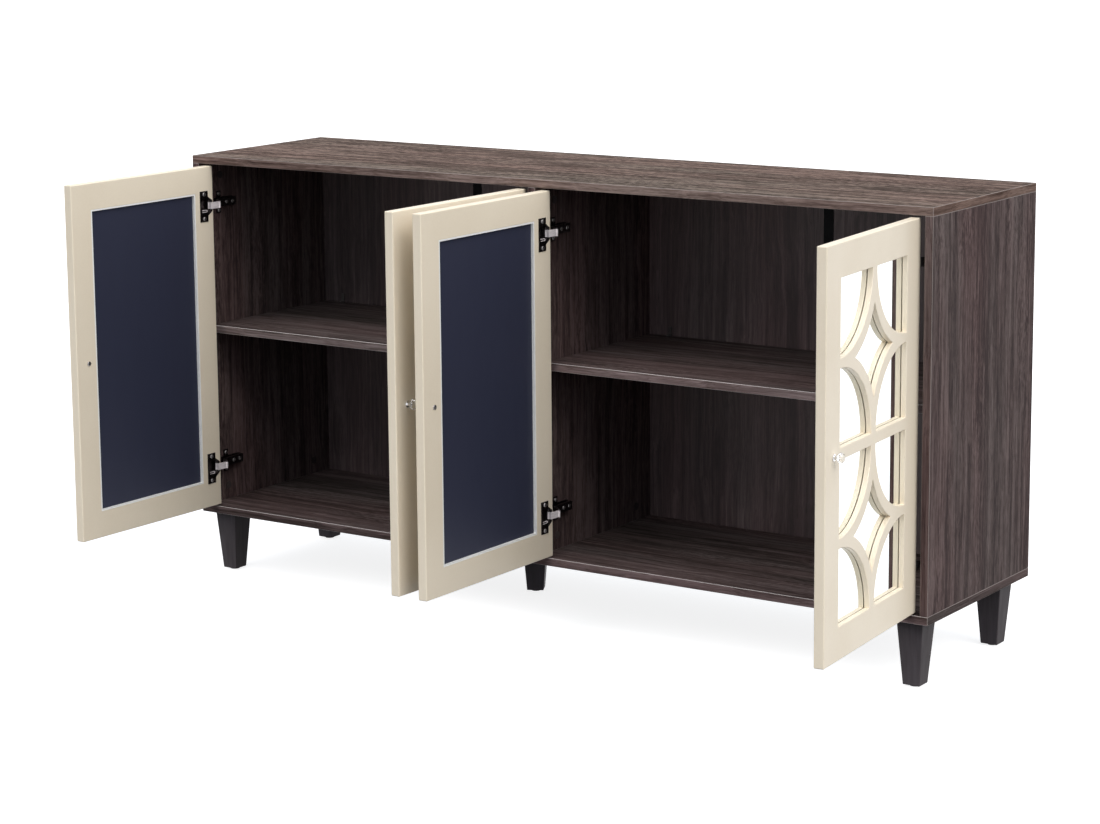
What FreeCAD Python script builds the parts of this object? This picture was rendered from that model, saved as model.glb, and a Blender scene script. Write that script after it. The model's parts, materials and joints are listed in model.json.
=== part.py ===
import FreeCAD
import Part
import math
import os

# A low buffet on short tapered legs, with four inset doors.
# Each door has a fretwork front over a mirror, a crystal knob and two cup hinges.
# Frame: +X to the right, +Y to the back, +Z up, in millimetres.
# The origin is on the floor, under the middle of the carcass.

Vector = FreeCAD.Vector
Placement = FreeCAD.Placement
Rotation = FreeCAD.Rotation

doc = FreeCAD.newDocument("glass_door_buffet")
sheet = doc.addObject("Spreadsheet::Sheet", "Sizes")

# Driving sizes
DRIVING = (
    # carcass
    ("width", 1600), ("depth", 400), ("height", 830), ("board", 15), ("edge_break", 0.6),
    ("back_sheet", 3), ("back_inset", 10), ("groove_depth", 5.5), ("groove_slack", 0.25),
    ("strip_width", 20), ("strip_skin", 1.2), ("strip_web", 1.4), ("strip_slack", 0.3),
    ("shelf_rise", 358), ("shelf_setback", 25), ("shelf_slack", 0.5),
    ("peg_radius", 2.5), ("peg_reach", 9), ("peg_depth", 6), ("peg_inset", 40),
    ("cover_radius", 7.5), ("cover_skin", 1.2), ("cover_rise", 43),
    ("cover_front", 62), ("cover_back", 335),
    ("clip_width", 7), ("clip_rise", 17), ("clip_reach", 12), ("clip_skin", 2), ("clip_inset", 46),
    # legs
    ("leg_height", 120), ("leg_top", 50), ("leg_foot", 32), ("leg_round", 1.5),
    ("leg_inset_side", 43), ("leg_inset_front", 43), ("leg_inset_back", 53),
    ("centre_leg_left", 150), ("centre_leg_back", 22), ("centre_leg_turn", 28),
    ("glide_radius", 9), ("glide_height", 3), ("bolt_radius", 4), ("bolt_low", 92), ("bolt_length", 40),
    # doors
    ("door_gap", 2.5), ("door_gap_low", 3), ("door_gap_high", 4), ("door_depth", 18), ("door_round", 2),
    ("front_layer", 9), ("stile", 56), ("rebate_stile", 50),
    ("fret_mid_bar", 20), ("fret_corner_radius", 127), ("fret_star_radius", 148), ("fret_round", 1.2),
    ("mirror_sheet", 3), ("mirror_slack", 0.5), ("bead_width", 3), ("bead_depth", 5.5), ("bead_slack", 0.25),
    # knobs
    ("knob_from_edge", 31), ("knob_rose_radius", 6), ("knob_rose_height", 2),
    ("knob_stem_radius", 3.5), ("knob_stem_top", 7), ("knob_sides", 10), ("knob_root_radius", 5),
    ("knob_girdle_radius", 9), ("knob_table_radius", 5.5),
    ("knob_girdle_low", 11.5), ("knob_girdle_high", 13.5), ("knob_top", 18),
    ("knob_screw_radius", 2), ("knob_screw_hole", 2.3), ("knob_screw_head", 4.5), ("knob_screw_cap", 1.8),
    ("knob_screw_bite", 5),
    # cup hinges
    ("hinge_from_end", 77), ("link_share", 0.5),
    ("arm_pivot_out", 31.7), ("arm_pivot_in", 22.2), ("cup_pivot_out", 7.5), ("cup_pivot_in", 13),
    ("rod_radius", 1.25), ("rod_fit", 0.05),
    ("link_sheet", 1.6), ("link_width", 12.8), ("link_bend_out", 4.17), ("link_bend_in", -5.02),
    ("cup_barrel_radius", 2), ("arm_barrel_radius", 2.4),
    ("cup_centre", 20.5), ("cup_radius", 17.5), ("cup_wall", 1), ("cup_depth", 12.5), ("cup_slack", 0.1),
    ("flange_start", 16), ("flange_width", 22), ("flange_height", 60), ("flange_skin", 1.2),
    ("tab_tip", 4), ("tab_tip_rise", 10.5), ("tab_root_rise", 18.5), ("notch_slack", 0.6),
    ("cup_rod_length", 31),
    ("flange_screw_rise", 24), ("screw_radius", 1.8), ("screw_head_radius", 4), ("screw_head_height", 2),
    ("door_screw_depth", 11), ("panel_screw_depth", 6.5),
    ("arm_sheet", 4.8), ("arm_width", 16.2), ("arm_bar_out", 11), ("arm_bar_in", 44), ("arm_end_in", 94),
    ("arm_knee_out", 14), ("arm_knee_in", 36), ("arm_web_gap", 4.4),
    ("cheek_sheet", 1.5), ("cheek_radius", 3),
    ("plate_skin", 2), ("plate_start", 42), ("plate_end", 96), ("plate_width", 18),
    ("wing_start", 49), ("wing_end", 61), ("wing_width", 44), ("wing_screw_rise", 16), ("riser_width", 11),
    ("riser_start", 46), ("riser_end", 92), ("arm_screw_front", 66), ("arm_screw_back", 84),
    ("arm_screw_length", 7),
)

# Sizes that follow from the driving ones
FOLLOWING = (
    ("front", "=-depth/2"),
    ("carcass_height", "=height-leg_height"),
    ("inner_half", "=width/2-board"),
    ("inner_low", "=leg_height+board"),
    ("inner_high", "=height-board"),
    ("inner_height", "=carcass_height-2*board"),
    ("bay_width", "=inner_half-board/2"),
    ("back_face", "=depth/2-back_inset-back_sheet"),
    ("door_width", "=(bay_width-3*door_gap)/2"),
    ("door_height", "=inner_height-door_gap_low-door_gap_high"),
    ("door_middle", "=inner_low+door_gap_low+door_height/2"),
    ("hinge_rise", "=door_height/2-hinge_from_end"),
    ("knob_out", "=door_width-knob_from_edge"),
    ("rebate_width", "=door_width-2*rebate_stile"),
    ("rebate_height", "=door_height-2*rebate_stile"),
    ("back_joint", "=(inner_half+groove_depth)/2"),
    ("flange_middle", "=flange_start+flange_width/2"),
    ("riser_top", "=arm_bar_out-arm_sheet/2"),
    ("rod_hole", "=rod_radius+rod_fit"),
)


def fill_sheet():
    for row, (alias, value) in enumerate(DRIVING + FOLLOWING, start=1):
        sheet.set("A" + str(row), alias)
        sheet.set("B" + str(row), str(value))
        sheet.setAlias("B" + str(row), alias)
    doc.recompute()


fill_sheet()
nodes = []


def value(alias):
    return float(sheet.get(alias))


def bound(expression):
    """The expression with each size name written as a cell of the sheet."""
    words = []
    word = ""
    for letter in str(expression) + " ":
        if letter.isalpha() or letter == "_":
            word += letter
            continue
        words.append("Sizes." + word if word else "")
        words.append(letter)
        word = ""
    return "".join(words).strip()


def bind(item, **expressions):
    for name, expression in expressions.items():
        item.setExpression(name, bound(expression))


def move(item, corner):
    for axis, expression in zip("xyz", corner):
        item.setExpression("Placement.Base." + axis, bound(expression))


# Turns that lay a cylinder, whose own axis is Z, along another direction
ALONG = {
    "+x": Rotation(Vector(0, 1, 0), 90),
    "-x": Rotation(Vector(0, 1, 0), -90),
    "+y": Rotation(Vector(1, 0, 0), -90),
    "-y": Rotation(Vector(1, 0, 0), 90),
    "+z": Rotation(),
}


def box(name, corner, sides):
    item = doc.addObject("Part::Box", name)
    bind(item, Length=sides[0], Width=sides[1], Height=sides[2])
    move(item, corner)
    return item


def rod(name, start, radius, length, along):
    item = doc.addObject("Part::Cylinder", name)
    item.Placement = Placement(Vector(), ALONG[along])
    bind(item, Radius=radius, Height=length)
    move(item, start)
    return item


def fuse(name, items):
    item = doc.addObject("Part::MultiFuse", name)
    item.Shapes = items
    return item


def cut(name, base, tool):
    item = doc.addObject("Part::Cut", name)
    item.Base = base
    item.Tool = tool
    return item


def gather(name, items):
    item = doc.addObject("Part::Compound", name)
    item.Links = items
    return item


def mirror_image(name, source, normal):
    item = doc.addObject("Part::Mirroring", name)
    item.Source = source
    item.Normal = normal
    return item


def with_lower_twin(name, upper):
    """The upper hinge's piece and its twin at the lower hinge."""
    lower = mirror_image(name + "_lower", upper, Vector(0, 0, 1))
    return gather(name, [upper, lower])


def node(item, label):
    item.Label = label
    nodes.append(item)
    return item


def body_box(body, kind, name, corner, sides):
    item = body.newObject("PartDesign::" + kind + "Box", name)
    bind(item, Length=sides[0], Width=sides[1], Height=sides[2])
    move(item, corner)
    return item


def body_rod(body, kind, name, start, radius, length, along):
    item = body.newObject("PartDesign::" + kind + "Cylinder", name)
    item.Placement = Placement(Vector(), ALONG[along])
    bind(item, Radius=radius, Height=length)
    move(item, start)
    return item


def soften(body, kind, name, source, size_name, size):
    """Break every edge of a solid that has just been made."""
    item = body.newObject("PartDesign::" + kind, name)
    item.Base = (source, [""])
    item.UseAllEdges = True
    bind(item, **{size_name: size})
    return item


def base_plane(body, role):
    return [feature for feature in body.Origin.OriginFeatures if feature.Role == role][0]


def sketch_on(body, name, role):
    sketch = body.newObject("Sketcher::SketchObject", name)
    sketch.AttachmentSupport = (base_plane(body, role), [""])
    sketch.MapMode = "FlatFace"
    return sketch


def outline(sketch, points):
    """A closed polygon through the points."""
    for start, end in zip(points, points[1:] + points[:1]):
        sketch.addGeometry(Part.LineSegment(Vector(*start, 0), Vector(*end, 0)), False)


# Carcass boards
def board(label, corner, sides, grooves=()):
    body = doc.addObject("PartDesign::Body", label)
    blank = body_box(body, "Additive", label + "_blank", ("0", "0", "0"), sides)
    soften(body, "Chamfer", label + "_edges", blank, "Size", "edge_break")
    for number, (groove_corner, groove_sides) in enumerate(grooves):
        body_box(body, "Subtractive", label + "_groove_" + str(number), groove_corner, groove_sides)
    move(body, corner)
    return node(body, label)


def carcass_boards():
    groove_in = "depth-back_inset-back_sheet-groove_slack"
    groove_wide = "back_sheet+2*groove_slack"
    long_groove = ("2*inner_half+2*groove_depth", groove_wide, "groove_depth")
    tall_groove = ("groove_depth", groove_wide, "inner_height")
    groove_left = "board-groove_depth"
    board("top_panel", ("-width/2", "front", "inner_high"), ("width", "depth", "board"),
          [((groove_left, groove_in, "0"), long_groove)])
    board("bottom_panel", ("-width/2", "front", "leg_height"), ("width", "depth", "board"),
          [((groove_left, groove_in, "board-groove_depth"), long_groove)])
    upright = ("board", "depth", "inner_height")
    board("left_side_panel", ("-width/2", "front", "inner_low"), upright,
          [((groove_left, groove_in, "0"), tall_groove)])
    board("right_side_panel", ("inner_half", "front", "inner_low"), upright,
          [(("0", groove_in, "0"), tall_groove)])
    board("centre_divider", ("-board/2", "front", "inner_low"),
          ("board", "back_face-front", "inner_height"))


def shelves():
    deep = "back_face-strip_skin-shelf_slack-front-shelf_setback"
    sides = ("bay_width-2*shelf_slack", deep, "board")
    for name, left in (("left", "-inner_half+shelf_slack"), ("right", "board/2+shelf_slack")):
        board(name + "_shelf", (left, "front+shelf_setback", "leg_height+shelf_rise"), sides)


def back_panels():
    """Four thin sheets in the grooves; the middle joint is hidden by the divider."""
    sides = ("back_joint-strip_web-2*strip_slack", "back_sheet",
             "inner_height+2*(groove_depth-groove_slack)")
    starts = (
        ("left_back_panel_outer", "-2*back_joint+strip_web/2+strip_slack"),
        ("left_back_panel_inner", "-back_joint+strip_web/2+strip_slack"),
        ("right_back_panel_inner", "strip_web/2+strip_slack"),
        ("right_back_panel_outer", "back_joint+strip_web/2+strip_slack"),
    )
    for label, left in starts:
        item = box(label, (left, "back_face", "inner_low-groove_depth+groove_slack"), sides)
        node(item, label)


def back_joint_strips():
    """H-shaped strips that hold two back sheets edge to edge."""
    for name, middle in (("left", "-back_joint"), ("right", "back_joint")):
        label = name + "_back_joint_strip"
        wide = middle + "-strip_width/2"
        skin = ("strip_width", "strip_skin", "inner_height")
        parts = [
            box(label + "_front", (wide, "back_face-strip_skin", "inner_low"), skin),
            box(label + "_rear", (wide, "back_face+back_sheet", "inner_low"), skin),
            box(label + "_web", (middle + "-strip_web/2", "back_face", "inner_low"),
                ("strip_web", "back_sheet", "inner_height")),
        ]
        node(fuse(label, parts), label)


# Legs and their fixings
LEGS = (
    ("front_left_leg", "-width/2+leg_inset_side", "front+leg_inset_front", "0"),
    ("front_right_leg", "width/2-leg_inset_side", "front+leg_inset_front", "0"),
    ("back_left_leg", "-width/2+leg_inset_side", "depth/2-leg_inset_back", "0"),
    ("back_right_leg", "width/2-leg_inset_side", "depth/2-leg_inset_back", "0"),
    ("centre_leg", "-centre_leg_left", "centre_leg_back", "centre_leg_turn"),
)


def legs():
    """Square legs that taper to the foot, all cut from one pattern."""
    for label, left, back, turn in LEGS:
        body = doc.addObject("PartDesign::Body", label)
        blank = body.newObject("PartDesign::AdditiveWedge", label + "_blank")
        bind(blank, Xmin="-leg_foot/2", Xmax="leg_foot/2", Zmin="-leg_foot/2", Zmax="leg_foot/2",
             X2min="-leg_top/2", X2max="leg_top/2", Z2min="-leg_top/2", Z2max="leg_top/2",
             Ymin="0", Ymax="leg_height-glide_height")
        blank.Placement = Placement(Vector(), ALONG["-y"])
        soften(body, "Fillet", label + "_edges", blank, "Radius", "leg_round")
        move(body, (left, back, "glide_height"))
        body.setExpression("Placement.Rotation.Angle", bound(turn))
        node(body, label)


def leg_fixings():
    glides = []
    bolts = []
    for label, left, back, turn in LEGS:
        glides.append(rod(label + "_glide", (left, back, "0"), "glide_radius", "glide_height", "+z"))
        bolts.append(rod(label + "_bolt", (left, back, "bolt_low"), "bolt_radius", "bolt_length", "+z"))
    node(gather("foot_glides", glides), "foot_glides")
    node(gather("leg_bolts", bolts), "leg_bolts")


# Small fittings on the carcass
def shelf_pegs():
    pegs = []
    faces = (("-inner_half", "+x"), ("-board/2", "-x"), ("board/2", "+x"), ("inner_half", "-x"))
    rows = ("front+shelf_setback+peg_inset", "back_face-peg_inset")
    for face, along in faces:
        start = face + ("-peg_depth" if along == "+x" else "+peg_depth")
        for row in rows:
            place = (start, row, "leg_height+shelf_rise-peg_radius")
            name = "shelf_peg_" + str(len(pegs))
            pegs.append(rod(name, place, "peg_radius", "peg_reach+peg_depth", along))
    node(gather("shelf_pegs", pegs), "shelf_pegs")


def joint_covers():
    """Round covers over the fastenings that hold the uprights to the top and bottom."""
    covers = []
    for face, along in (("-inner_half", "+x"), ("board/2", "+x"), ("inner_half", "-x")):
        for row in ("front+cover_front", "front+cover_back"):
            for rise in ("leg_height+cover_rise", "height-cover_rise"):
                name = "joint_cover_" + str(len(covers))
                covers.append(rod(name, (face, row, rise), "cover_radius", "cover_skin", along))
    node(gather("joint_covers", covers), "joint_covers")


def back_clips():
    """Angle clips that tie the back sheets to the shelves."""
    clips = []
    rise = "leg_height+shelf_rise+board"
    middles = ("-inner_half+clip_inset", "-board/2-clip_inset",
               "board/2+clip_inset", "inner_half-clip_inset")
    for middle in middles:
        name = "back_clip_" + str(len(clips))
        left = middle + "-clip_width/2"
        tall = box(name + "_tall", (left, "back_face-clip_skin", rise),
                   ("clip_width", "clip_skin", "clip_rise"))
        foot = box(name + "_foot", (left, "back_face-clip_reach", rise),
                   ("clip_width", "clip_reach", "clip_skin"))
        clips.append(fuse(name, [tall, foot]))
    node(gather("back_clips", clips), "back_clips")


# One door, drawn closed and hinged on its left edge.
# Its own frame: X from the hinge edge, Y from the front face to the back, Z from mid-height.
def fret_openings(sketch):
    """Two square cells; each has a star in the middle and a quarter disc in every corner."""
    left = value("stile")
    right = value("door_width") - left
    high = value("door_height") / 2 - left
    half_bar = value("fret_mid_bar") / 2
    corner_radius = value("fret_corner_radius")
    star_radius = value("fret_star_radius")
    up = Vector(0, 0, 1)
    for low, top in ((half_bar, high), (-high, -half_bar)):
        middle_x = (left + right) / 2
        middle_z = (low + top) / 2
        reach_x = math.acos((right - left) / 2 / star_radius)
        reach_z = math.asin((top - low) / 2 / star_radius)
        corners = ((left, low, 0), (right, low, 90), (right, top, 180), (left, top, 270))
        for corner_x, corner_z, first in corners:
            centre = Vector(corner_x, corner_z, 0)
            start = math.radians(first)
            end = start + math.pi / 2
            circle = Part.Circle(centre, up, corner_radius)
            sketch.addGeometry(Part.ArcOfCircle(circle, start, end), False)
            for angle in (start, end):
                tip = centre + Vector(math.cos(angle), math.sin(angle), 0) * corner_radius
                sketch.addGeometry(Part.LineSegment(centre, tip), False)
            # The star's side that faces this corner runs between its two nearest tips.
            toward_x = 1 if corner_x < middle_x else -1
            toward_z = 1 if corner_z < middle_z else -1
            first_tip = math.atan2(toward_z * math.sin(reach_x), toward_x * math.cos(reach_x))
            second_tip = math.atan2(toward_z * math.sin(reach_z), toward_x * math.cos(reach_z))
            low_angle, high_angle = sorted((first_tip, second_tip))
            star = Part.Circle(centre, up, star_radius)
            sketch.addGeometry(Part.ArcOfCircle(star, low_angle, high_angle), False)


def front_edges(shape):
    """Edges of the fret openings on the front face, which are softened last."""
    inside = value("stile") - 1
    names = []
    for number, edge in enumerate(shape.Edges, start=1):
        bounds = edge.BoundBox
        on_front = abs(bounds.YMin) < 0.01 and abs(bounds.YMax) < 0.01
        if on_front and bounds.XMin > inside and bounds.XMax < value("door_width") - inside:
            names.append("Edge" + str(number))
    return names


def door_panel():
    body = doc.addObject("PartDesign::Body", "door_panel")
    blank = body_box(body, "Additive", "door_blank", ("0", "0", "-door_height/2"),
                     ("door_width", "door_depth", "door_height"))
    soften(body, "Fillet", "door_edges", blank, "Radius", "door_round")
    body_box(body, "Subtractive", "door_rebate", ("rebate_stile", "front_layer", "-rebate_height/2"),
             ("rebate_width", "door_depth", "rebate_height"))
    for name, rise in (("upper", "hinge_rise"), ("lower", "-hinge_rise")):
        body_rod(body, "Subtractive", name + "_cup_hole", ("cup_centre", "door_depth", rise),
                 "cup_radius+cup_slack", "cup_depth+cup_slack", "-y")
    body_rod(body, "Subtractive", "knob_screw_way", ("knob_out", "door_depth", "0"),
             "knob_screw_hole", "door_depth", "-y")
    sketch = sketch_on(body, "fret_outline", "XZ_Plane")
    fret_openings(sketch)
    pocket = body.newObject("PartDesign::Pocket", "fret")
    pocket.Profile = sketch
    pocket.Type = "ThroughAll"
    pocket.Midplane = True
    doc.recompute()
    softened = body.newObject("PartDesign::Fillet", "fret_edges")
    softened.Base = (pocket, front_edges(pocket.Shape))
    bind(softened, Radius="fret_round")
    body.Tip = softened
    return body


def door_mirror():
    wide = "rebate_width-2*mirror_slack"
    tall = "rebate_height-2*mirror_slack"
    return box("door_mirror", ("rebate_stile+mirror_slack", "front_layer", "-rebate_height/2+mirror_slack"),
               (wide, "mirror_sheet", tall))


def mirror_bead():
    """White beading that holds the mirror in its rebate from behind."""
    outer = box("bead_outer", ("rebate_stile+bead_slack", "front_layer+mirror_sheet",
                               "-rebate_height/2+bead_slack"),
                ("rebate_width-2*bead_slack", "bead_depth", "rebate_height-2*bead_slack"))
    inset = "rebate_stile+bead_slack+bead_width"
    inner = box("bead_inner", (inset, "front_layer", "-rebate_height/2+bead_slack+bead_width"),
                ("rebate_width-2*bead_slack-2*bead_width", "door_depth",
                 "rebate_height-2*bead_slack-2*bead_width"))
    return cut("mirror_bead", outer, inner)


def knob_base():
    rose = rod("knob_rose", ("knob_out", "0", "0"), "knob_rose_radius", "knob_rose_height", "-y")
    stem = rod("knob_stem", ("knob_out", "0", "0"), "knob_stem_radius", "knob_stem_top", "-y")
    thread = rod("knob_thread", ("knob_out", "0", "0"), "knob_screw_radius", "knob_screw_bite", "-y")
    return cut("knob_base", fuse("knob_metal", [rose, stem]), thread)


def knob_head():
    """A faceted crystal, flat on top and widest at its girdle."""
    sections = []
    profile = (
        ("knob_root_radius", "knob_stem_top"),
        ("knob_girdle_radius", "knob_girdle_low"),
        ("knob_girdle_radius", "knob_girdle_high"),
        ("knob_table_radius", "knob_top"),
    )
    for number, (radius, rise) in enumerate(profile):
        ring = doc.addObject("Part::RegularPolygon", "knob_ring_" + str(number))
        ring.Placement = Placement(Vector(), ALONG["-y"])
        bind(ring, Polygon="knob_sides", Circumradius=radius)
        move(ring, ("knob_out", "-" + rise, "0"))
        sections.append(ring)
    loft = doc.addObject("Part::Loft", "knob_head")
    loft.Sections = sections
    loft.Solid = True
    loft.Ruled = True
    return loft


def door_screws():
    """Screws in the cup flanges and the one that holds the knob."""
    screws = []
    for rise in ("flange_screw_rise", "-flange_screw_rise"):
        name = "cup_screw_" + str(len(screws))
        place = "hinge_rise+" + rise
        shank = rod(name + "_shank", ("flange_middle", "door_depth+flange_skin", place),
                    "screw_radius", "door_screw_depth", "-y")
        head = rod(name + "_head", ("flange_middle", "door_depth+flange_skin", place),
                   "screw_head_radius", "screw_head_height", "+y")
        screws.append(fuse(name, [shank, head]))
    cups = with_lower_twin("cup_screws", gather("upper_cup_screws", screws))
    shank = rod("knob_screw_shank", ("knob_out", "door_depth", "0"),
                "knob_screw_radius", "door_depth+knob_screw_bite", "-y")
    head = rod("knob_screw_head_disc", ("knob_out", "door_depth", "0"),
               "knob_screw_head", "knob_screw_cap", "+y")
    return gather("door_screws", [cups, fuse("knob_screw", [shank, head])])


# Cup hinges. A short bent link joins the rod in the arm to the rod in the cup.
def cup_tab():
    """The part of the cup's flange that narrows from its strip towards the door's edge."""
    item = doc.addObject("Part::Wedge", "cup_tab")
    item.Placement = Placement(Vector(), Rotation(Vector(0, 0, 1), -90))
    bind(item, Xmin="-flange_skin", Xmax="0", X2min="-flange_skin", X2max="0")
    bind(item, Ymin="tab_tip", Ymax="flange_start")
    bind(item, Zmin="-tab_tip_rise", Zmax="tab_tip_rise", Z2min="-tab_root_rise", Z2max="tab_root_rise")
    move(item, ("0", "door_depth", "hinge_rise"))
    return item


def hinge_cups():
    centre = ("cup_centre", "door_depth", "hinge_rise")
    shell = rod("cup_shell", centre, "cup_radius", "cup_depth", "-y")
    flange = box("cup_flange", ("flange_start", "door_depth", "hinge_rise-flange_height/2"),
                 ("flange_width", "flange_skin", "flange_height"))
    hollow = rod("cup_hollow", ("cup_centre", "door_depth+2*flange_skin", "hinge_rise"),
                 "cup_radius-cup_wall", "cup_depth-cup_wall+2*flange_skin", "-y")
    notch = box("cup_notch", ("0", "door_depth", "hinge_rise-link_width/2-notch_slack"),
                ("cup_centre", "2*flange_skin", "link_width+2*notch_slack"))
    metal = fuse("cup_metal", [shell, flange, cup_tab()])
    dish = cut("cup_dish", metal, fuse("cup_waste", [hollow, notch]))
    pivot = rod("cup_rod", ("cup_pivot_out", "cup_pivot_in", "hinge_rise-cup_rod_length/2"),
                "rod_radius", "cup_rod_length", "+z")
    inside = rod("cup_rod_limit", centre, "cup_radius", "cup_depth", "-y")
    trimmed = doc.addObject("Part::Common", "cup_rod_trimmed")
    trimmed.Base = pivot
    trimmed.Tool = inside
    return with_lower_twin("hinge_cups", fuse("upper_cup", [dish, trimmed]))


def strip_outline(points, thickness):
    """Outline of a bent strip of even thickness along a line of points."""
    lines = [Vector(*point, 0) for point in points]
    left = []
    right = []
    for number, point in enumerate(lines):
        before = lines[number] - lines[number - 1] if number else lines[1] - lines[0]
        after = lines[number + 1] - point if number + 1 < len(lines) else before
        before = Vector(before).normalize()
        after = Vector(after).normalize()
        side = Vector(-before.y - after.y, before.x + after.x, 0).normalize()
        offset = side * (thickness / 2 / side.dot(Vector(-before.y, before.x, 0)))
        left.append(point + offset)
        right.append(point - offset)
    return [(corner.x, corner.y) for corner in left + right[::-1]]


def strip_body(name, points, thickness, width):
    """A bent strip, padded evenly about the upper hinge's middle."""
    body = doc.addObject("PartDesign::Body", name)
    sketch = sketch_on(body, name + "_outline", "XY_Plane")
    outline(sketch, strip_outline(points, value(thickness)))
    sketch.setExpression("AttachmentOffset.Base.z", bound("hinge_rise"))
    pad = body.newObject("PartDesign::Pad", name + "_pad")
    pad.Profile = sketch
    pad.Midplane = True
    bind(pad, Length=width)
    return body


def hinge_links():
    """Drawn closed, from the arm's rod at the origin to the cup's rod."""
    cup_x = value("door_gap") + value("cup_pivot_out") - value("arm_pivot_out")
    cup_y = value("cup_pivot_in") - value("arm_pivot_in")
    bend = (cup_x + value("link_bend_out"), cup_y + value("link_bend_in"))
    body = strip_body("hinge_link", [(0, 0), bend, (cup_x, cup_y)], "link_sheet", "link_width")
    low = "hinge_rise-link_width/2"
    cup_place = ("door_gap+cup_pivot_out-arm_pivot_out", "cup_pivot_in-arm_pivot_in", low)
    arm_place = ("0", "0", low)
    body_rod(body, "Additive", "link_cup_barrel", cup_place, "cup_barrel_radius", "link_width", "+z")
    body_rod(body, "Additive", "link_arm_barrel", arm_place, "arm_barrel_radius", "link_width", "+z")
    body_rod(body, "Subtractive", "link_cup_hole", cup_place, "rod_hole", "link_width", "+z")
    body_rod(body, "Subtractive", "link_arm_hole", arm_place, "rod_hole", "link_width", "+z")
    return with_lower_twin("hinge_links", body)


# The arm and its plate are drawn in a frame with X from the upright's face and Y from the front plane.
def hinge_arm():
    pivot = Vector(value("arm_pivot_out"), value("arm_pivot_in"), 0)
    knee = Vector(value("arm_knee_out"), value("arm_knee_in"), 0)
    toward = (knee - pivot).normalize()
    web_end = pivot + toward * value("arm_web_gap")
    points = [
        (value("arm_bar_out"), value("arm_end_in")),
        (value("arm_bar_out"), value("arm_bar_in")),
        (knee.x, knee.y),
        (web_end.x, web_end.y),
    ]
    web = strip_body("arm_web", points, "arm_sheet", "arm_width")
    cheek_start = pivot + toward * (2 * value("arm_web_gap"))
    fork = strip_body("arm_fork", [(cheek_start.x, cheek_start.y), (pivot.x, pivot.y)],
                      "arm_sheet", "arm_width")
    low = "hinge_rise-arm_width/2"
    eye = rod("arm_eye", ("arm_pivot_out", "arm_pivot_in", low), "cheek_radius", "arm_width", "+z")
    slot_low = "hinge_rise-arm_width/2+cheek_sheet"
    slot = rod("arm_slot", ("arm_pivot_out", "arm_pivot_in", slot_low), "arm_web_gap",
               "arm_width-2*cheek_sheet", "+z")
    metal = cut("arm_metal", fuse("arm_blank", [web, fork, eye]), slot)
    pivot_rod = rod("arm_rod", ("arm_pivot_out", "arm_pivot_in", low), "rod_radius", "arm_width", "+z")
    return with_lower_twin("hinge_arm", fuse("upper_arm", [metal, pivot_rod]))


def hinge_plate():
    base = box("plate_base", ("0", "plate_start", "hinge_rise-plate_width/2"),
               ("plate_skin", "plate_end-plate_start", "plate_width"))
    wings = box("plate_wings", ("0", "wing_start", "hinge_rise-wing_width/2"),
                ("plate_skin", "wing_end-wing_start", "wing_width"))
    riser = box("plate_riser", ("0", "riser_start", "hinge_rise-riser_width/2"),
                ("riser_top", "riser_end-riser_start", "riser_width"))
    return with_lower_twin("hinge_plate", fuse("upper_plate", [base, wings, riser]))


def plate_screws():
    """Two screws in the plate's wings and two that set the arm on its plate."""
    screws = []
    for rise in ("wing_screw_rise", "-wing_screw_rise"):
        name = "wing_screw_" + str(len(screws))
        place = ("plate_skin", "(wing_start+wing_end)/2", "hinge_rise+" + rise)
        shank = rod(name + "_shank", place, "screw_radius", "plate_skin+panel_screw_depth", "-x")
        head = rod(name + "_head", place, "screw_head_radius", "screw_head_height", "+x")
        screws.append(fuse(name, [shank, head]))
    for row in ("arm_screw_front", "arm_screw_back"):
        name = row + "_piece"
        place = ("arm_bar_out+arm_sheet/2", row, "hinge_rise")
        shank = rod(name + "_shank", place, "screw_radius", "arm_screw_length", "-x")
        head = rod(name + "_head", place, "screw_head_radius", "screw_head_height/2", "+x")
        screws.append(fuse(name, [shank, head]))
    return with_lower_twin("plate_screws", gather("upper_plate_screws", screws))


# The four doors: name, side the door reaches to from its hinge, hinge face, how far it stands open
DOORS = (
    ("left_outer_door", 1, -value("inner_half"), 91.5),
    ("left_inner_door", -1, -value("board") / 2, 88.5),
    ("right_inner_door", 1, value("board") / 2, 90.5),
    ("right_outer_door", -1, value("inner_half"), 95.0),
)


def turned_about(closed_point, open_point, angle, frame_start):
    """Where a frame comes to rest when it turns while one of its points moves."""
    turn = Rotation(Vector(0, 0, 1), angle)
    return Placement(open_point + turn.multVec(frame_start - closed_point), turn)


def door_places(side, face, opening):
    """Places of a door, its links and its hinge arms when the door stands open."""
    rise = value("door_middle")
    front = value("front")
    arm_frame = Vector(face, front, rise)
    arm_pivot = arm_frame + Vector(side * value("arm_pivot_out"), value("arm_pivot_in"), 0)
    door_frame = arm_frame + Vector(side * value("door_gap"), 0, 0)
    cup_pivot = door_frame + Vector(side * value("cup_pivot_out"), value("cup_pivot_in"), 0)
    link_turn = side * value("link_share") * opening
    link_place = turned_about(arm_pivot, arm_pivot, link_turn, arm_pivot)
    open_pivot = arm_pivot + link_place.Rotation.multVec(cup_pivot - arm_pivot)
    door_place = turned_about(cup_pivot, open_pivot, -side * opening, door_frame)
    return door_place, link_place, Placement(arm_frame, Rotation())


def set_out(name, source, side, place):
    """A copy of a left-hinged piece, or its mirror image, set in its place."""
    if side > 0:
        item = gather(name, [source])
    else:
        item = mirror_image(name, source, Vector(1, 0, 0))
    item.Placement = place
    return item


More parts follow.
